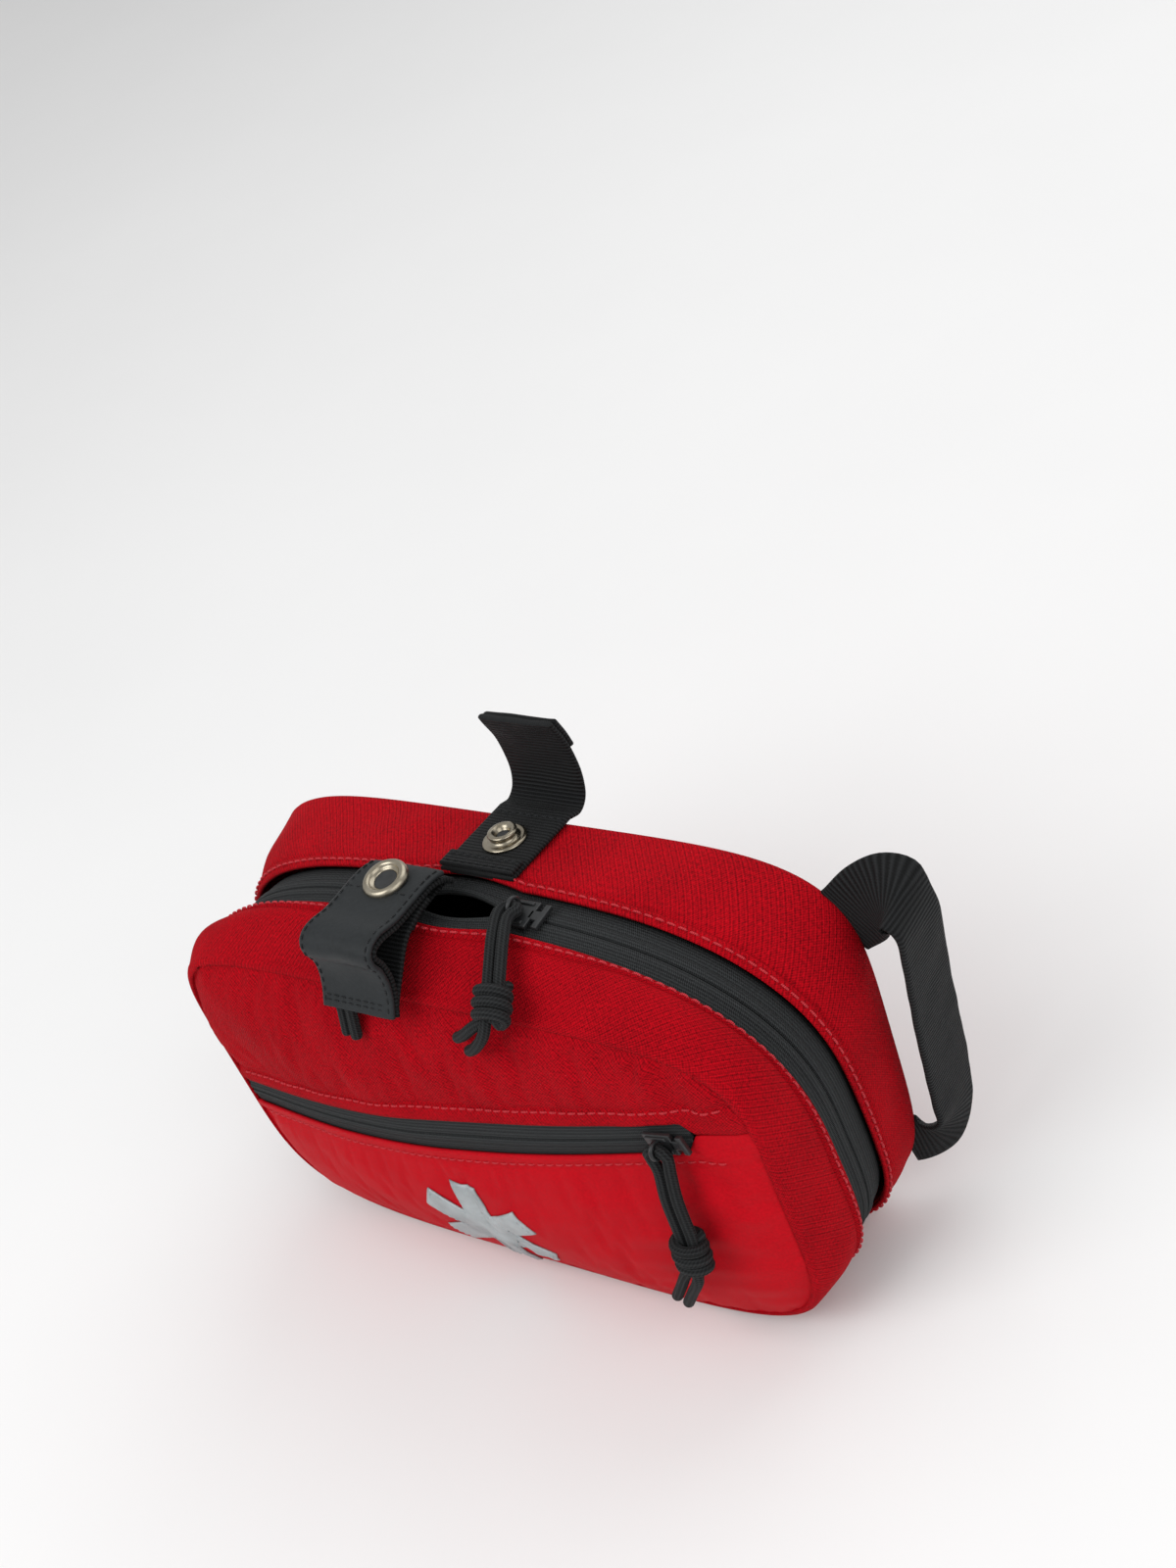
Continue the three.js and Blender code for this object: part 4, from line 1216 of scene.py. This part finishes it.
TAB_ROW = 11.2          # from the tab's middle to its side rows of stitches
rows = []
for x in (-TAB_ROW, TAB_ROW):
    at = facing_line[2:109] + np.array((x, 0, 0))
    rows.append((at + above(at) * 0.8, above(at)))
for row in (24, 103, 106):
    base = facing_line[row] + np.linspace(-TAB_ROW, TAB_ROW, 12)[:, None] * np.array(ALONG_X)
    up = above(facing_line)[row]
    rows.append((base + up * 0.8, np.tile(up, (12, 1))))
stitches("tab_stitches", rows, "front_tab", "dark_thread", 2.6, 2.0, 0.24)
rows = []
for y in (11.2, 13.9, 34.2):
    lifted = rear_top(y) + STRAP_LIFT + (2.7 if y < 20 else 1.1)
    row = np.stack([np.linspace(-8, 15, 12), np.full(12, y), np.full(12, lifted)], axis=1)
    rows.append((row, np.tile((0, 0, 1.0), (12, 1))))
stitches("strap_stitches", rows, "rear_shell", "dark_thread", 2.6, 2.0, 0.24)


# ---------- inside ----------

lining_flat = panel_grid(None, None, RIM + 0.4, 80, 50)
ripple = soft_noise(lining_flat[..., 0] * 0.05, lining_flat[..., 1] * 0.05, 40.0)
lining = on_front(lining_flat, -2.6 + 0.3 * ripple)
piece = sheet_shell("front_lining_cloth", lining[::-1], 0.7, "lining", side=-1)
settle(piece, "front_shell", ["front_lining"])


def mesh_top(x):
    return np.full_like(x, 60.0)


net_flat = panel_grid(None, mesh_top, RIM + 6.5, 60, 30)
net = on_front(net_flat, -4.4 - 0.5 * np.clip((net_flat[..., 1] - 20) / 40, 0, 1))
net_piece = sheet_shell("mesh_pocket_net", net[::-1], 0.4, "mesh", side=-1)
settle(net_piece, "front_shell", ["mesh_pocket"])

BOARD_INSET = 9.2
board_flat = back_patch(BOARD_INSET, 60, 40, BOARD_INSET)
bx, bz = board_flat[..., 0], board_flat[..., 1]
by = back_y(bz) - WALL - GAP - 2.0 + 0.25 * soft_noise(bx * 0.06, bz * 0.06, 44.0)
board = np.stack([bx, by, bz], axis=-1)
piece = sheet_shell("organiser_board_cloth", board, 1.8, "lining")
settle(piece, "rear_shell", ["organiser_board"])


def roll_end(r):
    """How far a bandage roll's layers dip at its ends."""
    return 0.9 * abs(math.sin(r * 1.6))


for side in ("left", "right"):
    low, high = corners(f"bandage_roll_{side}")
    middle, radius, half = (low + high) / 2, (high[0] - low[0]) / 2, (high[2] - low[2]) / 2
    profile = [(0, -half + 1.0)]
    profile += [(r, -half + roll_end(r)) for r in np.arange(1.0, radius - 1.2, 0.5)]
    profile += [(radius - 0.6, -half + 0.3), (radius, -half + 1.4)]
    profile += [(radius - 0.75 * math.exp(-(z / 9.5) ** 4), z) for z in np.linspace(-half + 3, half - 3, 28)]
    profile += [(radius, half - 1.4), (radius - 0.6, half - 0.3)]
    profile += [(r, half - roll_end(r)) for r in np.arange(radius - 1.7, 1.0, -0.5)]
    profile += [(0, half - 1.0)]
    piece = lathed(f"bandage_{side}", profile, "gauze", middle, sides=64)
    at = piece.data.attributes.new("weave", "FLOAT_VECTOR", "POINT")
    for k, vert in enumerate(piece.data.vertices):
        p = np.array(vert.co) / MM - middle
        at.data[k].vector = (math.atan2(p[1], p[0]) * 14, p[2], 0)
    settle(piece, "rear_shell", [f"bandage_roll_{side}"])

low, high = corners("dressing_pack")
middle, size = (low + high) / 2, (high - low) / 2
U, V = np.meshgrid(np.linspace(-1, 1, 34), np.linspace(-1, 1, 46), indexing="ij")
crown = np.maximum((1 - np.abs(U) ** 3.2) * (1 - np.abs(V) ** 4), 0) ** 0.55
px, pz = middle[0] + U * size[0] * (1 - 0.02 * V ** 2), middle[2] + V * size[2]
py = middle[1] - size[1] * crown - 0.35 * soft_noise(U * 3, V * 4, 50.0) * crown
front_side = np.stack([px, py, pz], axis=-1)
back_side = front_side.copy()
back_side[..., 1] = middle[1] + size[1] * crown
points = np.concatenate([front_side.reshape(-1, 3), back_side.reshape(-1, 3)])
faces = grid_faces(*U.shape, False) + grid_faces(*U.shape, False, U.size, True)
weave = np.concatenate([np.stack([U * 26, V * 37], axis=-1).reshape(-1, 2)] * 2)
piece = outward(mesh_piece("dressing_pad", points, faces, "dressing_wrap", weave), weld=1e-5)
settle(piece, "rear_shell", ["dressing_pack"])

for holds in ("left", "right", "pack"):
    name = f"elastic_loop_{holds}"
    low, high = corners(name)
    x0, x1, y0, y1 = low[0], high[0], low[1], high[1]
    z = (low[2] + high[2]) / 2
    foot, t = 3.5, 0.6
    left, right, lid, base = x0 + foot + t, x1 - foot - t, y0 + t, y1 - t
    if holds != "pack":
        centre, r = (left + right) / 2, (right - left) / 2
        arc = [(centre - r * math.cos(a), lid + r - r * math.sin(a)) for a in np.linspace(0, math.pi, 17)]
    else:
        r = 2.0
        arc = [(left, lid + r + 2), (left + 0.4, lid + 0.7), (left + r + 1, lid)]
        arc += [(x, lid) for x in np.linspace(left + 8, right - 8, 5)]
        arc += [(right - r - 1, lid), (right - 0.4, lid + 0.7), (right, lid + r + 2)]
    path = [(x0 + 0.6, base), (left - 0.9, base - 0.1), (left, base - 1.4)] + arc
    path += [(right, base - 1.4), (right + 0.9, base - 0.1), (x1 - 0.6, base)]
    line = smooth_path([(x, y, z) for x, y in path], 110)
    piece = ribbon(name.replace("loop", "band"), line, (0, 0, 1.0), 20, 1.2, "elastic")
    settle(piece, "rear_shell", [name])


# ---------- stage ----------

floor_points = [(x, y, 0.0) for x in np.linspace(-6000, 6000, 4) for y in np.linspace(-6000, 6000, 4)]
g = Graph("floor")
place = g.put("ShaderNodeTexCoord").outputs["Object"]
colour = g.mixed(g.noise(place, 6.0), (0.80, 0.80, 0.80), (0.84, 0.84, 0.84))
g.finish(colour, 0.9, g.noise(place, 900.0), 0.04, HARD_RELIEF)
floor = mesh_piece("floor", floor_points, grid_faces(4, 4, False), "floor")


def light(name, place, aim, size, power, tint=(1.0, 1.0, 1.0)):
    data = bpy.data.lights.new(name, "AREA")
    data.shape = "DISK"
    data.size, data.energy, data.color = size, power, tint
    lamp = bpy.data.objects.new(name, data)
    lamp.location = place
    lamp.rotation_euler = (Vector(aim) - Vector(place)).to_track_quat("-Z", "Y").to_euler()
    bpy.context.scene.collection.objects.link(lamp)


light("key", (-0.25, -0.75, 0.95), (0, 0, 0.06), 0.9, 6.5)
light("fill", (0.95, -0.2, 0.7), (0, 0, 0.06), 1.0, 3.4)
light("back", (0.1, 0.9, 0.9), (0, 0, 0.08), 1.2, 4.5)
world = bpy.data.worlds.new("studio")
world.use_nodes = True
world.node_tree.nodes["Background"].inputs["Color"].default_value = (1, 1, 1, 1)
world.node_tree.nodes["Background"].inputs["Strength"].default_value = 0.62
bpy.context.scene.world = world
bpy.context.scene.view_settings.view_transform = "Standard"
